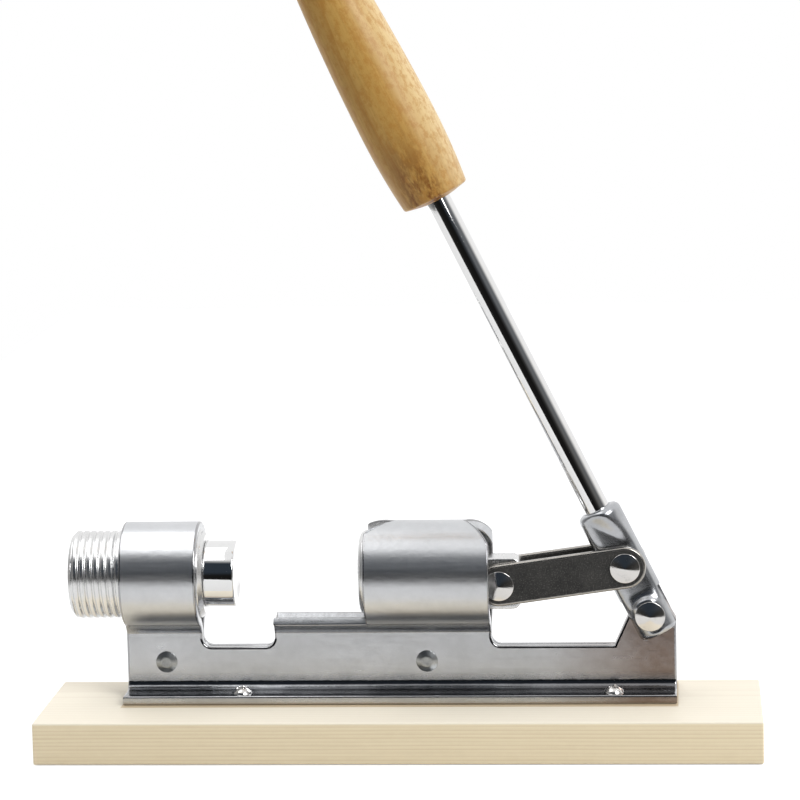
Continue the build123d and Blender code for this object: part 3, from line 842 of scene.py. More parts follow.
@dataclass(frozen=True)
class WoodFinish:
    """A wood's colours, its growth rings and where their pith lies."""

    name: str
    early: Triple
    late: Triple
    fibre: Triple
    streak: float
    ring: float
    wobble: float
    gloss: float
    pith: Triple
    lean: float = 0.0
    coat: float = 0.0
    coat_roughness: float = 0.25
    specular: float = 0.35
    pore_depth: float = 0.03

    def dress(self, finish: Finish, along: Socket, flecks: Socket, colour: Socket) -> Socket:
        """Adds to the plain wood what one kind of it has; plain wood has nothing more."""
        return colour

    def material(self, effects: Effects) -> Material:
        """Wires the finish: rings about a pith beside the piece, and fibres along it.

        Args:
            effects: Shared node groups.

        Returns:
            The material.
        """
        finish = Finish(self.name, effects, Coat_Weight=self.coat, Coat_Roughness=self.coat_roughness,
                        Specular_IOR_Level=self.specular)
        w = finish.wiring
        to_pith = [-x for x in metres(self.pith)]
        moved = w.node("Mapping", {"Vector": finish.place, "Location": to_pith}).outputs[0]
        along = w.node("Mapping", {"Vector": moved, "Rotation": (0.0, np.radians(self.lean), 0.0)}).outputs[0]
        feeds = {"Vector": along, "Ring": self.ring * MM, "Wobble": self.wobble * MM}
        rings, fibres = (finish.effect(effects.grain, k, **feeds) for k in (0, 1))
        tone, flecks = finish.clouds(along, 0.35, 22.0), finish.clouds(along, 0.6, 600.0)
        spread = w.times(w.between(tone, 0.35, 1.0), w.between(flecks, 0.4, 1.4))
        shade = w.times(w.times(fibres, spread), self.streak)
        colour = w.blend(shade, w.blend(rings, self.early, self.late), self.fibre)
        finish.feed("Base Color", self.dress(finish, along, flecks, colour))
        finish.feed("Roughness", w.between(fibres, self.gloss, self.gloss + 0.14))
        finish.bump(w.math("ADD", fibres, rings), self.pore_depth, 0.5)
        return finish.material


@dataclass(frozen=True)
class PineFinish(WoodFinish):
    """A board's wood: its top paler as painted reflection, and dusty with painted contact shadow at the
    frame's foot.
    """

    # Painted reflection: the top takes a paler colour, fading in between these depths below it.
    face: Triple = (0.97, 0.93, 0.84)
    glare_share: float = 0.62
    glare_depths: Span = (0.9, 0.2)
    # Dust and a painted contact shadow round the frame's foot: its share and its reach past the foot.
    dust_and_shadow_share: float = 0.8
    dust_and_shadow_reach: Span = (0.1, 0.7)

    def dress(self, finish: Finish, along: Socket, flecks: Socket, colour: Socket) -> Socket:
        """Adds the top's painted reflection, and a dusting with painted shadow where distance past the foot's
        box is small.

        Args:
            finish: The material.
            along: Place along the grain; not used.
            flecks: Fine mottling; not used.
            colour: The plain wood.

        Returns:
            The dressed wood.
        """
        w, top, foot = finish.wiring, NodeBox("base_board").high[2], NodeBox("body_frame")
        place = w.parts(finish.place)
        depths = metres([top - depth for depth in self.glare_depths])
        # Painted reflection: the top is made paler.
        colour = w.blend(w.remap(place[2], *depths, 0.0, self.glare_share, smooth=True), colour, self.face)
        # Dust and a painted contact shadow, strongest right next to the frame's foot.
        from_middle = [w.math("ABSOLUTE", w.math("SUBTRACT", place[k], foot.middle[k] * MM)) for k in (0, 1)]
        beyond = w.math("MAXIMUM", *(w.math("SUBTRACT", from_middle[k], foot.half[k] * MM) for k in (0, 1)))
        dust_and_shadow = w.remap(beyond, *metres(self.dust_and_shadow_reach), self.dust_and_shadow_share, 0.0, smooth=True)
        return w.blend(dust_and_shadow, colour, self.fibre)


@dataclass(frozen=True)
class HandleFinish(WoodFinish):
    """A grip's wood: a side paler as painted light, flecks, and a grimy strip of painted shade along its
    heart.
    """

    heart: float = 0.0
    # Painted light: a paler side of the grip, and where it lies across from the heart.
    lit_sapwood: Triple = (0.93, 0.75, 0.43)
    lit_sapwood_span: Span = (-15.0, -5.0)
    lit_sapwood_share: float = 0.75
    fleck_share: float = 0.6
    # Grime and painted shade in a strip along the heart near the butt: its colour, blotch size and strip
    # width.
    grime_and_shade: Triple = (0.27, 0.10, 0.02)
    grime_and_shade_scale: float = 240.0
    strip: Span = (3.0, 8.0)

    def dress(self, finish: Finish, along: Socket, flecks: Socket, colour: Socket) -> Socket:
        """Adds a paler side (painted light), flecks and grimy painted shade by distance across the grip from
        its heart.

        Args:
            finish: The material.
            along: Place along the grain.
            flecks: Fine mottling.
            colour: The plain wood.

        Returns:
            The dressed wood.
        """
        w = finish.wiring
        across = w.math("SUBTRACT", w.parts(along)[2], self.heart * MM)
        # Painted light: one side of the grip is made paler.
        pale = w.remap(across, *metres(self.lit_sapwood_span), self.lit_sapwood_share, 0.0, smooth=True)
        colour = w.blend(pale, colour, self.lit_sapwood)
        colour = w.blend(w.remap(flecks, 0.35, 0.8, 0.0, self.fleck_share, smooth=True), colour, self.late)
        # Grime and painted shade: blotches in a strip along the heart, where the handle's wear attribute
        # lies.
        blotch = w.remap(finish.clouds(along, 0.45, self.grime_and_shade_scale), 0.25, 0.68, 0.1, 1.0, smooth=True)
        strip = w.remap(w.math("ABSOLUTE", across), *metres(self.strip), 1.0, 0.15, smooth=True)
        handled_and_shaded = w.times(finish.effect(finish.effects.wear, 1), w.times(blotch, strip))
        return w.blend(handled_and_shaded, colour, self.grime_and_shade)


@dataclass
class SubAssembly:
    """Pieces that are built together, with the material of each slot."""

    looks: Looks


@dataclass
class Board(SubAssembly):
    """Planed pine board."""

    edge: float = 0.5
    corner: float = 0.6
    least_corner: float = 0.05

    def build(self) -> None:
        """Makes the board as a plate with rounded edges and corners."""
        box = NodeBox("base_board")
        (left, near, bottom), (right, far, top) = box.low, box.high
        sides = [(left, near), (right, near), (right, far), (left, far)]
        outline = rounded_path([(*s, self.corner) for s in sides], closed=True)
        points, worn = plate(outline, bottom, top, self.edge, self.corner - self.edge - self.least_corner)
        Shell().grid(points, worn).piece("base_board", "base", Slot.PINE, self.looks, 60.0)


@dataclass
class FoldedFrame(SubAssembly):
    """One sheet folded into two flanges, two webs, two barrels, a cradle and a rear upright."""

    sheet: float = 3.0
    seam: float = 0.2
    flange_half_width: float = 14.5
    flange_bend: float = 2.7
    web_height: float = 16.6
    web_rows_to: float = 10.6
    web_rows: Triple = (0.5, 0.94, 1.0)
    crease_height: float = 21.1
    crease_turn: float = 26.0
    crease_radius: float = 0.35
    barrel_radius: float = 17.0
    front_barrel: float = 24.8
    front_notch: float = 23.5
    cradle: float = 30.1
    ram_barrel: float = 40.2
    notch_corner: float = 3.0
    front_mouth: Span = (8.8, 8.6)
    rear_mouth: Span = (7.9, 12.4)
    upright_radius: float = 6.2
    upright_slope: Span = (3.6, 7.9)
    upright_shoulder: float = 31.0
    # Painted shade and sheen low on the sheet: height above the foot where they end and their fall; the
    # necks' share.
    painted_shade: Span = (9.0, 4.5)
    neck_shade_and_sheen: float = 0.4
    edge: float = 0.6

    def __post_init__(self) -> None:
        """Works out the frame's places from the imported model.

        The neck's arc starts at s with direction e to its centre, and touches the barrel of radius r about
        the origin from outside, so its radius is (s . s - r squared) / (2 (r - s . e)).
        """
        box = NodeBox("body_frame")
        self.left, self.right, self.foot, self.middle = box.low[0], box.high[0], box.low[2], box.middle[1]
        self.axis = box.high[2] - self.barrel_radius
        self.web_top = self.foot + self.web_height
        self.corner_top = self.web_top + self.notch_corner
        self.rows_top = self.foot + self.web_rows_to
        self.crease = self.foot + self.crease_height
        self.web_face = self.seam / 2 + self.sheet
        self.bend_top = self.foot + self.sheet + self.flange_bend
        turn = np.radians(self.crease_turn)
        inward = np.array([np.cos(turn), -np.sin(turn)])
        start = np.array([self.web_face + self.crease_radius * (1 - np.cos(turn)),
                          self.crease + self.crease_radius * np.sin(turn) - self.axis])
        self.neck = (start @ start - self.barrel_radius**2) / (2 * (self.barrel_radius - start @ inward))
        centre = start + self.neck * inward
        self.neck_ends = np.degrees(np.arctan2(centre[0], -centre[1]))
        self.pivot = joint_place("lever_swing")[[0, 2]]
        self.slope = unit(self.upright_slope)
        self.shoulder = np.radians(self.upright_shoulder)
        self.rise = self.pivot + self.upright_radius * np.array([-self.slope[1], self.slope[0]])
        outward = np.array([np.cos(self.shoulder), np.sin(self.shoulder)])
        self.fall = self.pivot + self.upright_radius * outward

    def line(self, fold: Fold, depth: float) -> FoldLine:
        """The sheet's section at a depth into it, from a flange's edge upwards.

        Args:
            fold: How far the sheet goes on above the web.
            depth: 0 for the outer skin, the sheet's thickness for the inner one.

        Returns:
            The section as distance from the mid-plane and height.
        """
        run = self.flange_half_width - self.web_face - self.flange_bend
        pieces = [(run, 0.0), ((self.flange_bend + depth) * np.pi / 2, -90.0)]
        if fold is Fold.PLAIN:
            pieces.append((self.axis - self.bend_top, 0.0))
        else:
            neck, over = 90.0 - self.crease_turn - self.neck_ends, 180.0 - self.neck_ends
            pieces += [(self.crease - self.bend_top, 0.0),
                       ((self.crease_radius + depth) * np.radians(self.crease_turn), -self.crease_turn),
                       ((self.neck + depth) * np.radians(neck), -neck),
                       ((self.barrel_radius - depth) * np.radians(over), over)]
        return FoldLine((self.flange_half_width, self.foot + self.sheet - depth), 180.0, pieces)

    def web_place(self, fold: Fold, height: Array) -> Array:
        """Place on the section of a height on the web."""
        top = self.axis if fold is Fold.PLAIN else self.crease
        return Run.WEB + (height - self.bend_top) / (top - self.bend_top)

    def corner(self, offset: Array) -> Array:
        """Height of a notch's edge at an offset from its side: a quarter circle, then level."""
        inside = np.clip(self.notch_corner - offset, 0.0, self.notch_corner)
        return self.corner_top - np.sqrt(self.notch_corner**2 - inside**2)

    def upright_edge(self, x: Array) -> Array:
        """Height of the rear upright: a sloping front, a round top about the pivot and a sloping shoulder.

        Args:
            x: Places along the frame.

        Returns:
            Height at each place.
        """
        rising = self.rise[1] + (x - self.rise[0]) * self.slope[1] / self.slope[0]
        over = np.clip(self.upright_radius**2 - (x - self.pivot[0]) ** 2, 0.0, None)
        falling = self.fall[1] - (x - self.fall[0]) / np.tan(self.shoulder)
        top = np.where(x < self.fall[0], self.pivot[1] + np.sqrt(over), falling)
        return np.where(x < self.rise[0], rising, top)

    def mouth_place(self, half_width: Array, depth: float) -> Array:
        """Place on the barrel's arc where a mouth's cut of some half width ends."""
        cut = np.degrees(np.arcsin(half_width / (self.barrel_radius - depth)))
        return Run.END - cut / (180.0 - self.neck_ends)

    def zone(self, fold: Fold, x: Array, top: Union[float, Array],
             mouth: Union[float, Array] = 0.0) -> list[Array]:
        """One length of the frame, on the far side of the mid-plane.

        Args:
            fold: How far the sheet goes on above the web.
            x: Stations along the frame.
            top: Height that the web's rows reach at each station.
            mouth: Half width of the cut in the barrel's top at each station.

        Returns:
            Grid of points of the outer skin, of the inner one, and of the sheen and painted shade, which the
            necks and the flanges have and which fades up the webs.
        """
        low = np.concatenate([np.linspace(Run.FLANGE, Run.BEND, 4), np.linspace(Run.BEND, Run.WEB, 9)[1:],
                              self.web_place(fold, np.linspace(self.bend_top, self.rows_top, 3)[1:])])
        rise = np.array(self.web_rows)[:, None] * (top - self.rows_top + np.zeros_like(x))
        rows = [np.repeat(low[:, None], len(x), axis=1), self.web_place(fold, self.rows_top + rise)]
        if fold is not Fold.PLAIN:
            start = self.web_place(fold, self.corner_top)
            neck = np.concatenate([[(start + Run.CREASE) / 2], np.linspace(Run.CREASE, Run.NECK, 3),
                                   np.linspace(Run.NECK, Run.BARREL, 6)[1:]])
            rows.append(np.repeat(neck[: -1 if fold is Fold.CRADLE else None, None], len(x), axis=1))
        skins = []
        for depth in (0.0, self.sheet):
            place = np.concatenate(rows)
            if fold is Fold.BARREL:
                ends = self.mouth_place(mouth + np.zeros_like(x), depth)
                over = Run.BARREL + np.linspace(0.0, 1.0, 41)[1:, None] * (ends - Run.BARREL)
                place = np.concatenate([place, over])
            section = self.line(fold, depth).at(place)
            along = np.broadcast_to(x[None, :, None], (*section.shape[:2], 1))
            skins.append(np.concatenate([along, section], axis=-1))
        # Painted shade and sheen: a set share on the necks, full on the flanges, fading out up the webs.
        bent = (place > Run.CREASE - 0.01) & (place < Run.BARREL + 0.01)
        shaded_low = smooth_step((self.foot + self.painted_shade[0] - skins[0][..., 2]) / self.painted_shade[1])
        return [*skins, np.where(bent, self.neck_shade_and_sheen, shaded_low)]

    def zones(self) -> list[list[Array]]:
        """Every length of the frame, from the adjuster's end to the lever's.

        Returns:
            What each length is made of.
        """
        lengths = [self.left, self.front_barrel, self.front_notch, self.cradle, self.ram_barrel]
        left, front_end, cradle, ram_start, ram_end = np.cumsum(lengths)
        spread = self.notch_corner * (1 - np.cos(np.linspace(0, np.pi / 2, 9)))
        level = np.linspace(front_end + spread[-1], cradle - spread[-1], 9)[1:-1]
        notch = np.concatenate([front_end + spread, level, (cradle - spread)[::-1]])
        opens, closes = ram_start + self.front_mouth[0], ram_end - self.rear_mouth[0]
        ram = np.concatenate([np.linspace(ram_start, opens, 16), np.linspace(opens, closes, 12)[1:-1],
                              np.linspace(closes, ram_end, 25)])
        opened = np.maximum(self.front_mouth[1] * np.clip(1 - (ram - ram_start) / self.front_mouth[0], 0, 1),
                            self.rear_mouth[1] * np.clip(1 - (ram_end - ram) / self.rear_mouth[0], 0, 1))
        foot = self.rise[0] - (self.rise[1] - self.web_top) * self.slope[0] / self.slope[1]
        gap = np.concatenate([ram_end + spread, np.linspace(ram_end + spread[-1], foot, 14)[1:]])
        upright = np.concatenate([np.linspace(foot, self.rise[0], 5),
                                  np.linspace(self.rise[0], self.fall[0], 22)[1:],
                                  np.linspace(self.fall[0], self.right, 3)[1:]])
        notch_top = np.maximum(self.corner(notch - front_end), self.corner(cradle - notch))
        return [
            self.zone(Fold.BARREL, np.linspace(left, front_end, 13), self.corner_top),
            self.zone(Fold.PLAIN, notch, notch_top),
            self.zone(Fold.CRADLE, np.linspace(cradle, ram_start, 16), self.corner_top),
            self.zone(Fold.BARREL, ram, self.corner_top, opened),
            self.zone(Fold.PLAIN, gap, self.corner(gap - ram_end)),
            self.zone(Fold.PLAIN, upright, self.upright_edge(upright)),
        ]

    def build(self) -> None:
        """Joins the lengths on both sides into one sheet and rounds its cut edges."""
        skins, quads, sheens, count = [], [], [], 0
        for outer, inner, sheen in self.zones():
            for side in Side:
                flip = np.array([1, side.value, 1] * 2)
                both = np.concatenate([outer, inner], axis=-1).reshape(-1, 6) * flip
                quads.append(grid_quads(*outer.shape[:2], False)[:, ::-side.value] + count)
                skins.append(both)
                sheens.append(sheen.reshape(-1))
                count += len(both)
        skins = np.round(np.concatenate(skins), 5) + 0.0
        points, first, number = np.unique(skins, axis=0, return_index=True, return_inverse=True)
        points += np.array([0.0, self.middle, 0.0] * 2)
        quads = number.reshape(-1)[np.concatenate(quads)]
        net = rolled_sheet(points[:, :3], points[:, 3:], quads, np.concatenate(sheens)[first], self.edge)
        Shell().net(*net).piece("body_frame", "base", Slot.SHEET, self.looks, 55.0)


@dataclass
class Fasteners(SubAssembly):
    """Web rivets and wood screws that hold the frame together and to the board."""

    rivet_head: float = 0.9
    rivet_rim: float = 0.25
    rivet_flat: float = 1.7
    rivet_shank: float = 2.0
    rivet_rounds: Triple = (0.08, 0.18, 2.6)
    rivet_dimple: Triple = (0.06, 0.4, 0.6)
    screw_head: float = 2.2
    screw_shank: float = 1.7
    screw_tip: float = 2.0
    slot_half_length: float = 1.9
    slot_half_width: float = 0.45
    slot_depth: float = 1.0
    slot_rise: float = 0.25
    slot_edge: float = 0.22
    screw_points: tuple[int, int] = (45, 120)

    def web_rivet(self, node: str) -> None:
        """A rivet with low heads, domed round a flat middle.

        Args:
            node: The rivet's node.
        """
        box = NodeBox(node)
        half, head = box.half[1], box.half[2]
        seat, (under, rim, dome) = half - self.rivet_head, self.rivet_rounds
        sunk, small, soft = self.rivet_dimple
        side = rounded_path([(seat, self.rivet_shank, 0), (seat, head, under),
                             (seat + self.rivet_rim, head, rim), (half, self.rivet_flat, dome),
                             (half - sunk, small, soft), (half - sunk, 0, 0)], steps=10)
        turned = Axle(box.middle, (0, 1, 0)).turned(mirrored(side), turns=56)
        Shell().grid(turned).piece(node, "base", Slot.FASTENER, self.looks, 60.0)

    def wood_screw(self, node: str, turn: float) -> None:
        """A round-headed screw: a dome less a cross, as a height over the head's disc.

        The cross is where the lesser of max(|u| - a, |v| - b) and max(|v| - a, |u| - b) is below zero, with
        a half its arm's width and b half its length.

        Args:
            node: The screw's node.
            turn: How far the cross is turned, in degrees.
        """
        box = NodeBox(node)
        head, tip, seat = box.half[0], box.low[2], NodeBox("body_frame").low[2] + FoldedFrame.sheet
        lift, (rings, turns) = self.screw_head, self.screw_points
        ball = (head**2 + lift**2) / (2 * lift)
        radius, angle = np.meshgrid(np.linspace(0.0, head, rings),
                                    np.linspace(0.0, 2 * np.pi, turns, endpoint=False), indexing="ij")
        spin = angle - np.radians(turn)
        u, v = np.abs(radius * np.cos(spin)), np.abs(radius * np.sin(spin))
        arm = np.maximum(u - self.slot_half_width, v - self.slot_half_length)
        cross = np.minimum(arm, np.maximum(v - self.slot_half_width, u - self.slot_half_length))
        dome = np.sqrt(ball**2 - radius**2) - (ball - lift)
        sunk = np.minimum(dome, lift - self.slot_depth + self.slot_rise * radius / self.slot_half_length)
        height = seat + dome + (sunk - dome) * smooth_step(0.5 - cross / self.slot_edge)
        axle = Axle((*box.middle[:2], 0.0), (0, 0, 1))
        shank = np.array([(seat, head), (seat, self.screw_shank), (tip + self.screw_tip, self.screw_shank),
                          (tip, 0.0)])
        shell = Shell().grid(axle.place(height, radius, angle), np.ones(height.shape))
        shell.grid(axle.turned(shank, turns)).piece(node, "base", Slot.FASTENER, self.looks, 50.0)

    def build(self) -> None:
        """Makes every fastener of the frame."""
        for place in ("front", "middle"):
            self.web_rivet(place + "_web_rivet")
        turns = {"front_near": 24.0, "front_far": 61.0, "rear_near": 40.0, "rear_far": 8.0}
        for place, turn in turns.items():
            self.wood_screw(place + "_flange_screw", turn)


@dataclass
class Adjuster(SubAssembly):
    """Threaded plug and the swivelling anvil that it sets."""

    crest: float = 14.2
    depth: float = 0.55
    pitch: float = 2.3
    crest_width: float = 0.9
    root_width: float = 0.2
    lines_per_turn: int = 14
    chamfer: float = 1.4
    end_rings: Span = (0.62, 0.3)
    spigot: float = 6.0
    spigot_length: float = 18.0
    spigot_edge: float = 0.4
    spigot_play: float = 1.0
    nose: float = 10.75
    nose_length: float = 9.9
    nose_edges: Span = (0.25, 0.8)
    cup: float = 8.5
    cup_depth: float = 1.6
    bore_fit: float = 0.06
    lip: float = 0.3

    def __post_init__(self) -> None:
        """Takes the plug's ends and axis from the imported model."""
        box = NodeBox("adjusting_screw")
        self.back, self.front = box.low[0], box.high[0]
        self.axle = Axle((0.0, *box.middle[1:]), (1, 0, 0))

    def thread(self) -> Array:
        """The plug's threaded side, on lines that follow the helix.

        A line at angle t round the axis is moved along by t turns of the pitch. The radius rises from root
        to crest with the distance from the valley's middle, and is held under the chamfers at the ends.

        Returns:
            Grid of points.
        """
        step = self.pitch / self.lines_per_turn
        lines = np.arange(self.back - self.pitch, self.front + step, step)
        line, angle = np.meshgrid(lines, np.linspace(0.0, 2 * np.pi, ROUND + 1), indexing="ij")
        x = np.clip(line + self.pitch * angle / (2 * np.pi), self.back, self.front)
        phase = (x - self.front) / self.pitch - angle / (2 * np.pi)
        from_valley = np.abs((phase % 1.0) - 0.5) * self.pitch
        flank = (self.pitch - self.crest_width - self.root_width) / 2
        rise = smooth_step((from_valley - self.root_width / 2) / flank)
        radius = self.crest - self.depth + self.depth * rise
        from_end = np.minimum(x - self.back, self.front - x)
        return self.axle.place(x, np.minimum(radius, self.crest - self.chamfer + from_end), angle)

    def plug(self) -> None:
        """The adjusting screw with its turned end and the bore for the anvil."""
        end, bore = self.crest - self.chamfer, self.spigot + self.bore_fit
        floor = self.front - self.spigot_length - self.spigot_play
        back = np.array([(self.back, end * share) for share in (1.0, *self.end_rings, 0.0)])
        front = np.array([(self.front, end), (self.front, bore + self.lip), (self.front - self.lip, bore),
                          (floor, bore), (floor, 0.0)])
        shell = Shell().grid(self.thread(), wrap=False)
        shell.grid(self.axle.turned(back)).grid(self.axle.turned(front))
        shell.piece("adjusting_screw", "adjuster", Slot.TURNED, self.looks, 38.0)

    def anvil(self) -> None:
        """The bright nose with its cup, on its spigot."""
        box = NodeBox("anvil_cup")
        low, face = box.low[0], box.high[0]
        shoulder, cup = face - self.nose_length, dished(self.cup, self.cup_depth, face, -1)
        side = rounded_path([(low, 0, 0), (low, self.spigot, self.spigot_edge), (shoulder, self.spigot, 0),
                             (shoulder, self.nose, self.nose_edges[0]), (face, self.nose, self.nose_edges[1]),
                             (face, self.cup, self.lip), (*cup[1], 0)])
        profile = np.concatenate([side[:-1], cup[1:]])
        Shell().grid(self.axle.turned(profile)).piece("anvil_cup", "anvil", Slot.CHROME, self.looks, 50.0)

    def build(self) -> None:
        """Makes the plug and the anvil, and dresses the hidden ring."""
        self.plug()
        self.anvil()
        wire = frame["nodes"]["anvil_retaining_ring"]
        wire.data.materials.clear()
        wire.data.materials.append(self.looks[Slot.FASTENER])


@dataclass
class Ram(SubAssembly):
    """Plunger that slides in its barrel, with a flat tongue between the links."""

    radius: float = 13.94
    front_round: float = 2.6
    back_round: float = 0.5
    cup: float = 10.0
    cup_depth: float = 1.8
    cup_lip: float = 0.3
    behind_pin: float = 6.8
    shoulder_before_pin: float = 8.6
    above_pin: float = 8.5
    below_pin: float = 8.0
    tongue_half: float = 4.8
    tongue_corners: Span = (1.2, 2.5)
    tongue_edge: float = 0.45
    sunk: float = 1.0

    def build(self) -> None:
        """Makes the turned plunger and its tongue."""
        box, pin = NodeBox("ram"), NodeBox("ram_link_rivet").middle
        face, middle, shoulder = box.low[0], box.middle, pin[0] - self.shoulder_before_pin
        cup = dished(self.cup, self.cup_depth, face, 1)
        side = rounded_path([(*cup[1], 0), (face, self.cup, self.cup_lip),
                             (face, self.radius, self.front_round),
                             (shoulder, self.radius, self.back_round), (shoulder, 0, 0)])
        axle = Axle((0.0, *middle[1:]), (1, 0, 0))
        shell = Shell().grid(axle.turned(np.concatenate([cup[:0:-1], side[1:]])))
        start, end = shoulder - self.sunk, pin[0] + self.behind_pin
        low, high = pin[2] - self.below_pin, pin[2] + self.above_pin
        inner, outer = self.tongue_corners
        corners = [(start, low, inner), (end, low, outer), (end, high, outer), (start, high, inner)]
        outline = rounded_path(corners, closed=True)
        points, worn = plate(outline, -self.tongue_half, self.tongue_half, self.tongue_edge)
        shell.grid(points[..., [0, 2, 1]] + np.array([0.0, middle[1], 0.0]), worn)
        shell.piece("ram", "plunger", Slot.TURNED, self.looks, 40.0)


@dataclass
class Linkage(SubAssembly):
    """Two straps and the three pivot pins with their pointed heads."""

    width: float = 13.4
    edge: float = 0.7
    pin: float = 2.5
    pivot_pin: float = 3.0
    head: float = 4.8
    head_height: float = 1.9
    head_rim: float = 0.5
    head_rounds: Span = (0.12, 0.22)
    tip_shares: Triple = (0.93, 0.97, 1.0)
    tip_drops: Triple = (0.01, 0.03, 0.06)

    def strap(self, node: str) -> None:
        """A link: two half rounds joined by straight sides, with rubbed edges.

        Args:
            node: The link's node.
        """
        box = NodeBox(node)
        start, end = NodeBox("ram_link_rivet").middle[[0, 2]], joint_place("link_pivot")[[0, 2]]
        along = unit(end - start)
        turn = np.linspace(-np.pi / 2, np.pi / 2, 25)
        half_round = np.stack([np.cos(turn), np.sin(turn)], axis=-1) * self.width / 2
        half_round = half_round @ np.array([along, (-along[1], along[0])])
        outline = np.concatenate([end + half_round, start - half_round])
        points, worn = plate(outline, box.low[1], box.high[1], self.edge)
        Shell().grid(points[..., [0, 2, 1]], worn).piece(node, "links", Slot.DARK, self.looks, 45.0)

    def rivet(self, node: str, body: str, shank: float) -> None:
        """A pivot pin with a low cone, dull at its tip, at each end.

        Args:
            node: The pin's node.
            body: Body that it rides on.
            shank: Radius of the pin.
        """
        box = NodeBox(node)
        half, (under, rim) = box.half[1], self.head_rounds
        grip = half - self.head_height
        side = rounded_path([(0, shank, 0), (grip, shank, 0), (grip, self.head, under),
                             (grip + self.head_rim, self.head, rim), (half, 0.0, 0)])
        tip = side[-2] + np.array(self.tip_shares)[:, None] * (side[-1] - side[-2])
        tip[:, 0] -= np.array(self.tip_drops)
        turned = Axle(box.middle, (0, 1, 0)).turned(mirrored(np.concatenate([side[:-1], tip])), turns=64)
        Shell().grid(turned, np.ones(turned.shape[:2])).piece(node, body, Slot.FASTENER, self.looks, 60.0)

    def build(self) -> None:
        """Makes both straps and the three pins."""
        for side in Side:
            self.strap(side.name.lower() + "_link")
        self.rivet("ram_link_rivet", "links", self.pin)
        self.rivet("lever_link_rivet", "lever", self.pin)
        self.rivet("pivot_rivet", "lever", self.pivot_pin)


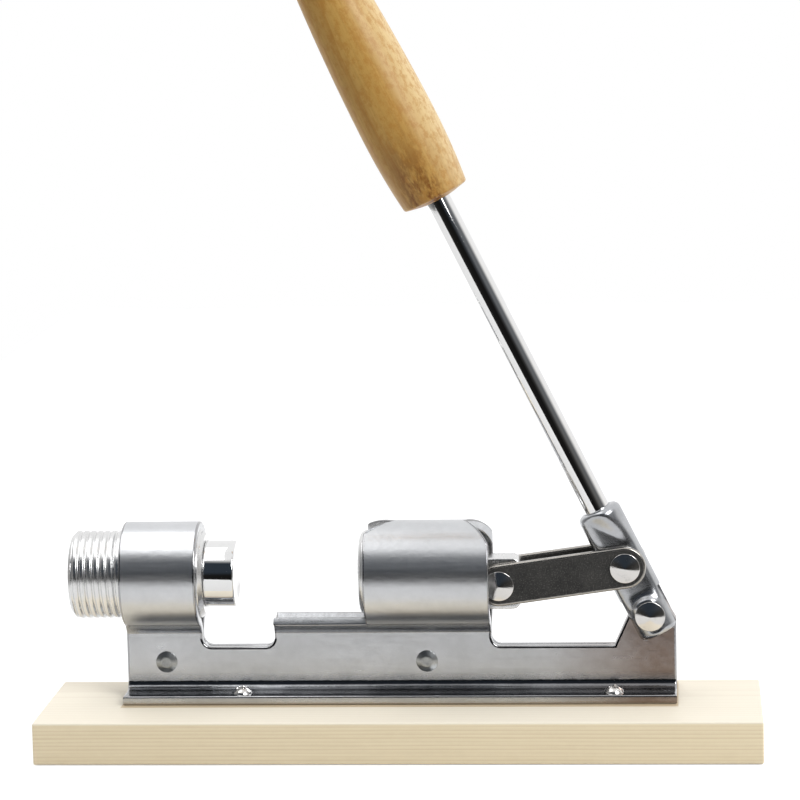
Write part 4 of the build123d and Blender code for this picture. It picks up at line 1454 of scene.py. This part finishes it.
@dataclass
class Lever(SubAssembly):
    """Cast socket, bright rod and turned handle."""

    socket_radius: float = 7.15
    socket_low: float = -7.2
    socket_high: float = 37.6
    socket_round: float = 2.3
    socket_lip: float = 0.3
    slot_half: float = 3.3
    slot_top: float = 7.4
    pin_gap: float = 17.7
    oval_half: float = 4.8
    oval_from: float = 2.2
    oval_reach: float = 7.2
    oval_low: float = 8.6
    oval_slopes: Span = (8.0, 6.0)
    sweep: float = 51.5
    seat_half: float = 6.6
    seat_slope: float = 1.6
    seat_reach: float = 5.0
    rod: float = 4.25
    rod_start: float = 24.1
    rod_end: float = 212.3
    rod_chamfer: float = 0.4
    rod_fits: Span = (0.05, 0.02)
    handle_start: float = 150.3
    handle_length: float = 95.0
    end_radius: float = 11.05
    belly_radius: float = 12.4
    belly: float = 28.0
    belly_slope: float = 0.12
    neck_radius: float = 10.25
    neck_below_top: float = 17.0
    crown_radius: float = 7.5
    crown_drop: float = 4.0
    # Length up from the butt over which grime and painted shade fade out.
    soiled_and_shaded: float = 30.0
    butt_dome: float = 1.3
    butt_bulge: Triple = (0.8, 0.55, 6.0)
    butt_edge: float = 0.9
    butt_inset: float = 0.1
    ring_points: tuple[int, int, int] = (22, 90, 9)

    def __post_init__(self) -> None:
        """Takes the lever's axis from its two pins."""
        self.axle = lever_axle()
        self.along = self.axle.directions()[0]
        self.across = np.array([self.along[2], 0.0, -self.along[0]])

    def handle_profile(self) -> Array:
        """The grip's outline: a domed butt, a belly, a neck and a rounded top.

        Returns:
            Distance along the lever and radius of each point.
        """
        start = self.handle_start
        end, butt = start + self.handle_length, start - self.butt_dome
        waist = np.array([(start + self.butt_edge, self.end_radius), (start + self.belly, self.belly_radius),
                          (end - self.neck_below_top, self.neck_radius),
                          (end - self.crown_drop, self.crown_radius), (end, 0.0)])
        grip = smooth_curve(waist, (1.0, self.belly_slope), (0.0, -1.0), steps=14)
        rise, out, bulge = self.butt_bulge
        dome = rounded_path([(butt, self.rod, 0),
                             (start - self.butt_dome * rise, self.end_radius * out, bulge),
                             (start, self.end_radius - self.butt_inset, self.butt_edge), (*grip[0], 0)])
        bottom, bore = self.rod_end + self.rod_fits[1], self.rod + self.rod_fits[1]
        hole = np.array([(bottom, 0.0), (bottom, bore), (butt, bore)])
        return np.concatenate([hole, dome[1:-1], grip])

    def relieved(self, u: Array, y: Array, w: Array) -> Array:
        """Depth of the round bar once it is cut away where the links sweep.

        There the round is flattened to clear them: it loses c (y - d) squared beyond a depth d, with c set by
        the depth that the middle keeps. It grows back to the full round over a slope beyond the upper edge of
        the sweep, which slants across the bar, and over a longer one past the lower edge. A collar under each
        of the pivot's heads stays round up to a flat seat.

        Args:
            u: Distance across the lever.
            y: Depth of the full round from the mid-plane.
            w: Distance along the lever from the pivot.

        Returns:
            Depth from the mid-plane.
        """
        full, slant = np.abs(y), np.radians(self.sweep)
        above = u * np.sin(slant) + (w - self.pin_gap) * np.cos(slant) - self.oval_reach
        below = self.oval_low - w
        grown = smooth_step(np.maximum(above / self.oval_slopes[1], below / self.oval_slopes[0]))
        loss = (self.socket_radius - self.oval_half) / (self.socket_radius - self.oval_from) ** 2
        oval = full - loss * np.clip(full - self.oval_from, 0.0, None) ** 2 * (1.0 - grown)
        collar = 1.0 - smooth_step((np.hypot(u, w) - self.seat_reach) / self.seat_slope)
        return np.sign(y) * (oval + (np.minimum(full, self.seat_half) - oval) * collar)

    def put(self, u: Array, y: Array, w: Array) -> Array:
        """Points at distances across the lever, away from its mid-plane and along it."""
        u, y, w = (part[..., None] for part in np.broadcast_arrays(u, y, w))
        return np.array(self.axle.origin) + u * self.across + y * np.array([0, 1, 0]) + w * self.along

    def bar(self, w: Array, radius: Array, angle: Array) -> tuple[Array, Array]:
        """Distance across the lever, and depth, of points round the relieved bar."""
        u, y = radius * np.cos(angle), radius * np.sin(angle)
        return u, self.relieved(u, y, w)

    def socket(self) -> None:
        """A round bar with rounded ends, cut away for the links, with a slot that straddles the webs.

        Below the slot's top the bar is two cheeks, each lying between the slot's wall and the round.
        """
        cut = np.arcsin(self.slot_half / self.socket_radius)
        cheek, flank = np.linspace(cut, np.pi - cut, 49), np.linspace(-cut, cut, 15)
        ring = np.concatenate([flank[:-1], cheek[:-1], flank[:-1] + np.pi, cheek[:-1] + np.pi])
        trim, core = self.socket_round, self.socket_radius - self.socket_round
        start, end, (below, above, arc) = self.socket_low + trim, self.socket_high - trim, self.ring_points
        turn = np.linspace(0.0, np.pi / 2, arc)
        low = np.concatenate([start - trim * np.cos(turn), np.linspace(start, self.slot_top, below)[1:]])
        low_radius = np.concatenate([core + trim * np.sin(turn), np.full(below - 1, self.socket_radius)])
        high = np.concatenate([np.linspace(self.slot_top, end, above), end + trim * np.sin(turn[1:])])
        high_radius = np.concatenate([np.full(above, self.socket_radius), core + trim * np.cos(turn[1:])])
        low, low_radius, high, high_radius = (part[:, None] for part in (low, low_radius, high, high_radius))
        shell = Shell().grid(self.put(*self.bar(high, high_radius, ring[None]), high))
        for side in Side:
            u, y = self.bar(low, low_radius, cheek[None] if side is Side.FAR else cheek[None] + np.pi)
            skin = self.put(u, side.value * np.maximum(np.abs(y), self.slot_half), low)
            wall = self.put(u, np.full_like(u, side.value * self.slot_half), low)
            for points in (skin, wall, np.stack([skin[0], wall[0]])):
                shell.grid(points, wrap=False)
        top = np.full((1, 1), self.slot_top)
        wide, deep = self.socket_radius * np.cos(cheek)[None], self.socket_radius * np.sin(flank)
        shell.grid(self.put(wide, deep[:, None], top), wrap=False)
        for side in Side:
            sliver = np.stack([np.full_like(flank, np.cos(cut)), np.cos(flank)]) * side.value
            shell.grid(self.put(sliver * self.socket_radius, deep[None], top), wrap=False)
        bore = self.rod + self.rod_fits[0]
        lip = np.array([(self.socket_high, core), (self.socket_high, bore + self.socket_lip),
                        (self.socket_high - self.socket_lip, bore), (self.rod_start, bore),
                        (self.rod_start, 0.0)])
        shell.grid(self.put(lip[:, 1:] * np.cos(ring), lip[:, 1:] * np.sin(ring), lip[:, :1]))
        shell.piece("lever_socket", "lever", Slot.CAST, self.looks, 50.0)

    def build(self) -> None:
        """Makes the socket, the rod and the handle."""
        self.socket()
        rod = rounded_path([(self.rod_start, 0, 0), (self.rod_start, self.rod, self.rod_chamfer),
                            (self.rod_end, self.rod, self.rod_chamfer), (self.rod_end, 0, 0)])
        Shell().grid(self.axle.turned(rod)).piece("lever_rod", "lever", Slot.CHROME, self.looks, 60.0)
        profile = self.handle_profile()
        # Grime and painted shade near the butt, carried by the wear attribute.
        soiled_and_shaded = 0.5 * smooth_step(1.0 - (profile[:, :1] - self.handle_start) / self.soiled_and_shaded)
        grip = self.axle.turned(profile)
        shell = Shell().grid(grip, np.broadcast_to(soiled_and_shaded, grip.shape[:2]))
        shell.piece("handle", "lever", Slot.HANDLE, self.looks, 60.0)


def hang(name: str, data: bpy.types.ID, axes: Sequence[Array], place: Array) -> bpy.types.Object:
    """Puts a lamp or a camera in its place.

    Args:
        name: Its name.
        data: The lamp or camera.
        axes: Its directions to the right, up and back.
        place: Where it is.

    Returns:
        The new object.
    """
    matrix = np.eye(4)
    matrix[:3, :3] = np.stack(axes, axis=-1)
    matrix[:3, 3] = place * MM
    made = bpy.data.objects.new(name, data)
    made.matrix_world = Matrix(matrix.tolist())
    bpy.context.scene.collection.objects.link(made)
    return made


@dataclass(frozen=True)
class Softbox:
    """A flat soft lamp: where it hangs, what it points at, its two sides and its power in watts."""

    name: str
    place: Triple
    aim: Triple
    sides: Span
    power: float

    def build(self) -> None:
        """Hangs the lamp."""
        data = bpy.data.lights.new(self.name, "AREA")
        data.shape, data.energy = "RECTANGLE", self.power
        data.size, data.size_y = metres(self.sides)
        back = unit(np.array(self.place) - np.array(self.aim))
        right = unit(np.cross([0.0, 1.0, 0.001], back))
        hang(self.name, data, [right, np.cross(back, right), back], np.array(self.place))


@dataclass
class Studio:
    """White room with a dark front, soft lamps and the camera.

    The room's brightness at eye height is a row of bearings in degrees, clockwise from the front, each with
    its level. Above it a white ceiling begins, lower behind the object than in front of it. The camera sees
    plain white all round, and metal sees it behind the object.
    """

    yaw: float = 4.849
    elevation: float = 8.284
    roll: float = -1.284
    distance: float = 1081.8
    target: Triple = (0.8, 9.25, 109.9)
    lens: float = 152.1
    sensor: float = 36.0
    walls: tuple[Span, ...] = (
        (-180, 0.58), (-140, 0.42), (-115, 0.32), (-95, 0.34), (-80, 0.30), (-60, 0.16), (-46, 0.08),
        (-31, 0.03), (-20, 0.015), (-11, 0.010), (15, 0.008), (30, 0.03), (46, 0.115), (68, 0.12),
        (78, 0.31), (96, 0.87), (112, 0.97), (147, 0.72), (180, 0.58))
    wall_tint: Triple = (1.02, 1.0, 0.97)
    haze: Triple = (0.018, 0.027, 0.040)
    haze_heights: Span = (2.0, 18.0)
    ceiling: float = 0.95
    ceiling_in_front: Span = (44.0, 62.0)
    ceiling_behind: Span = (2.0, 55.0)
    front_ends: Span = (75.0, 110.0)
    backdrop: Span = (100.0, 140.0)
    floor_sides: Span = (-320.0, 900.0)
    floor_front: float = 232.0
    floor_slant: float = 0.75
    floor_fronts: Span = (165.0, 800.0)
    floor_back: float = 1200.0
    floor_height: float = -0.3
    floor_backdrop: Span = (30.0, 130.0)
    floor_colour: Triple = (0.80, 0.80, 0.80)
    floor_glow: float = 0.48
    lamps: tuple[Softbox, ...] = (
        Softbox("overhead", (-330.0, -45.0, 620.0), (-330.0, -45.0, 0.0), (450.0, 590.0), 1.12),
        Softbox("key", (880.0, -900.0, 1060.0), (0.0, 9.0, 60.0), (800.0, 800.0), 15.5))

    def camera(self) -> None:
        """Sets the camera at the photograph's place."""
        yaw, rise, roll = np.radians([self.yaw, self.elevation, self.roll])
        back = np.array([np.sin(yaw) * np.cos(rise), -np.cos(yaw) * np.cos(rise), np.sin(rise)])
        right = np.array([np.cos(yaw), np.sin(yaw), 0.0])
        up = np.cross(back, right)
        axes = [np.cos(roll) * right + np.sin(roll) * up, np.cos(roll) * up - np.sin(roll) * right, back]
        data = bpy.data.cameras.new("camera")
        data.lens, data.sensor_width, data.clip_start = self.lens, self.sensor, 0.01
        bpy.context.scene.camera = hang("camera", data, axes, np.array(self.target) + self.distance * back)

    def world(self) -> None:
        """Walls by bearing and a ceiling by height."""
        made = bpy.data.worlds.new("studio")
        w = Wiring.afresh(made)
        x, y, z = w.parts(w.node("TexCoord").outputs["Generated"])
        height = w.math("DEGREES", w.math("ARCSINE", z))
        bearing = w.math("DEGREES", w.math("ARCTAN2", x, w.times(y, -1.0)))
        ramp = w.node("ValToRGB", {0: w.remap(bearing, -180.0, 180.0)})
        stops = ramp.color_ramp.elements
        for angle, level in self.walls:
            end = {-180: stops[0], 180: stops[len(stops) - 1]}.get(angle)
            stop = end or stops.new((angle + 180.0) / 360.0)
            stop.color = (*(level * t for t in self.wall_tint), 1.0)
        hazy = {0: w.remap(height, *self.haze_heights, smooth=True), 6: ramp.outputs[0], 7: self.haze}
        wall = w.node("Mix", hazy, data_type="RGBA", blend_type="ADD").outputs[2]
        aside = w.math("ABSOLUTE", bearing)
        front = w.remap(aside, *self.front_ends, 1.0, 0.0, smooth=True)
        ends = (w.between(front, *pair) for pair in zip(self.ceiling_behind, self.ceiling_in_front))
        room = w.blend(w.remap(height, *ends, smooth=True), wall, (self.ceiling,) * 3)
        colour = w.blend(w.seen(w.remap(aside, *self.backdrop, smooth=True)), room, WHITE)
        w.node("OutputWorld", {"Surface": w.node("Background", {"Color": colour}).outputs[0]})
        bpy.context.scene.world = made

    def floor(self) -> None:
        """A pale table top that ends a little way in front of the board, on a slanting edge."""
        x = np.linspace(*self.floor_sides, 41)[:, None]
        front = -np.clip(self.floor_front - self.floor_slant * x, *self.floor_fronts)
        y = front + np.linspace(0.0, 1.0, 3) * (self.floor_back - front)
        points = np.stack([x + 0.0 * y, y, np.full_like(y, self.floor_height)], axis=-1)
        mesh = Shell().grid(points, wrap=False).mesh("table_top_mesh")
        paint = bpy.data.materials.new("pale_table")
        w = Wiring.afresh(paint)
        across = w.parts(w.node("TexCoord").outputs["Object"])[1]
        seen = w.seen(w.remap(across, *metres(self.floor_backdrop), smooth=True))
        matt = w.node("BsdfDiffuse", {"Color": self.floor_colour}).outputs[0]
        glow = w.node("Emission", {"Color": WHITE, "Strength": w.times(seen, self.floor_glow)}).outputs[0]
        w.node("OutputMaterial", {"Surface": w.node("AddShader", {0: matt, 1: glow}).outputs[0]})
        mesh.materials.append(paint)
        made = bpy.data.objects.new("table_top", mesh)
        bpy.context.scene.collection.objects.link(made)

    def build(self) -> None:
        """Sets up the room, the lamps and the camera."""
        bpy.context.scene.view_settings.view_transform = "Standard"
        self.camera()
        self.world()
        self.floor()
        for lamp in self.lamps:
            lamp.build()


def finishes() -> Looks:
    """Makes every material; the handle's grain follows the lever's axis.

    Returns:
        The material of each slot.
    """
    effects, axle = Effects(), lever_axle()
    recipes = {
        Slot.SHEET: MetalFinish("satin_plated_sheet", dull=(0.60, 0.61, 0.625), bright=(0.69, 0.70, 0.72),
                                polish=0.26, haze=0.05, patch=70.0, wave=0.06, worn=(0.42, 0.42, 0.43),
                                # The sheet's last two colours are painted shade and a painted brown
                                # reflection.
                                painted_shade=(0.19, 0.195, 0.205), painted_reflection=(0.26, 0.19, 0.155)),
        Slot.TURNED: MetalFinish("turned_aluminium", dull=(0.72, 0.72, 0.72), bright=(0.82, 0.82, 0.82),
                                 polish=0.20, haze=0.06, patch=80.0, stretch=(900.0, 60.0, 60.0)),
        Slot.CHROME: MetalFinish("bright_plate", dull=(0.80, 0.80, 0.80), bright=(0.86, 0.86, 0.86),
                                 polish=0.03, haze=0.02, patch=50.0, relief=0.0005),
        Slot.CAST: MetalFinish("cast_satin", dull=(0.44, 0.45, 0.47), bright=(0.56, 0.57, 0.59), polish=0.19,
                               haze=0.05, patch=200.0, relief=0.0015, wave=0.02),
        Slot.FASTENER: MetalFinish("pressed_rivet", dull=(0.30, 0.31, 0.31), bright=(0.52, 0.53, 0.53),
                                   polish=0.26, haze=0.06, patch=420.0, relief=0.006,
                                   worn=(0.74, 0.72, 0.70), sheen=0.38),
        Slot.DARK: SpeckledFinish(),
        Slot.PINE: PineFinish("planed_pine", early=(0.88, 0.765, 0.54), late=(0.70, 0.54, 0.33),
                              fibre=(0.56, 0.42, 0.25), streak=0.25, ring=1.05, wobble=1.1, gloss=0.42,
                              pith=(0.0, 20.0, 95.0)),
        Slot.HANDLE: HandleFinish("varnished_handle", early=(0.70, 0.42, 0.115), late=(0.56, 0.26, 0.05),
                                  fibre=(0.26, 0.10, 0.025), streak=0.40, ring=3.0, wobble=4.0, gloss=0.36,
                                  pith=tuple(axle.origin + np.array([-6.0, 16.0, 0.0])),
                                  lean=90.0 + axle.lean(), coat=0.1, heart=-3.5),
    }
    return {slot: recipe.material(effects) for slot, recipe in recipes.items()}


def main() -> None:
    """Builds every sub-assembly and the studio."""
    logging.basicConfig(level=logging.INFO, format="%(name)s: %(message)s")
    looks = finishes()
    for kind in (Board, FoldedFrame, Fasteners, Adjuster, Ram, Linkage, Lever):
        kind(looks).build()
    Studio().build()


if __name__ == "__main__":
    main()
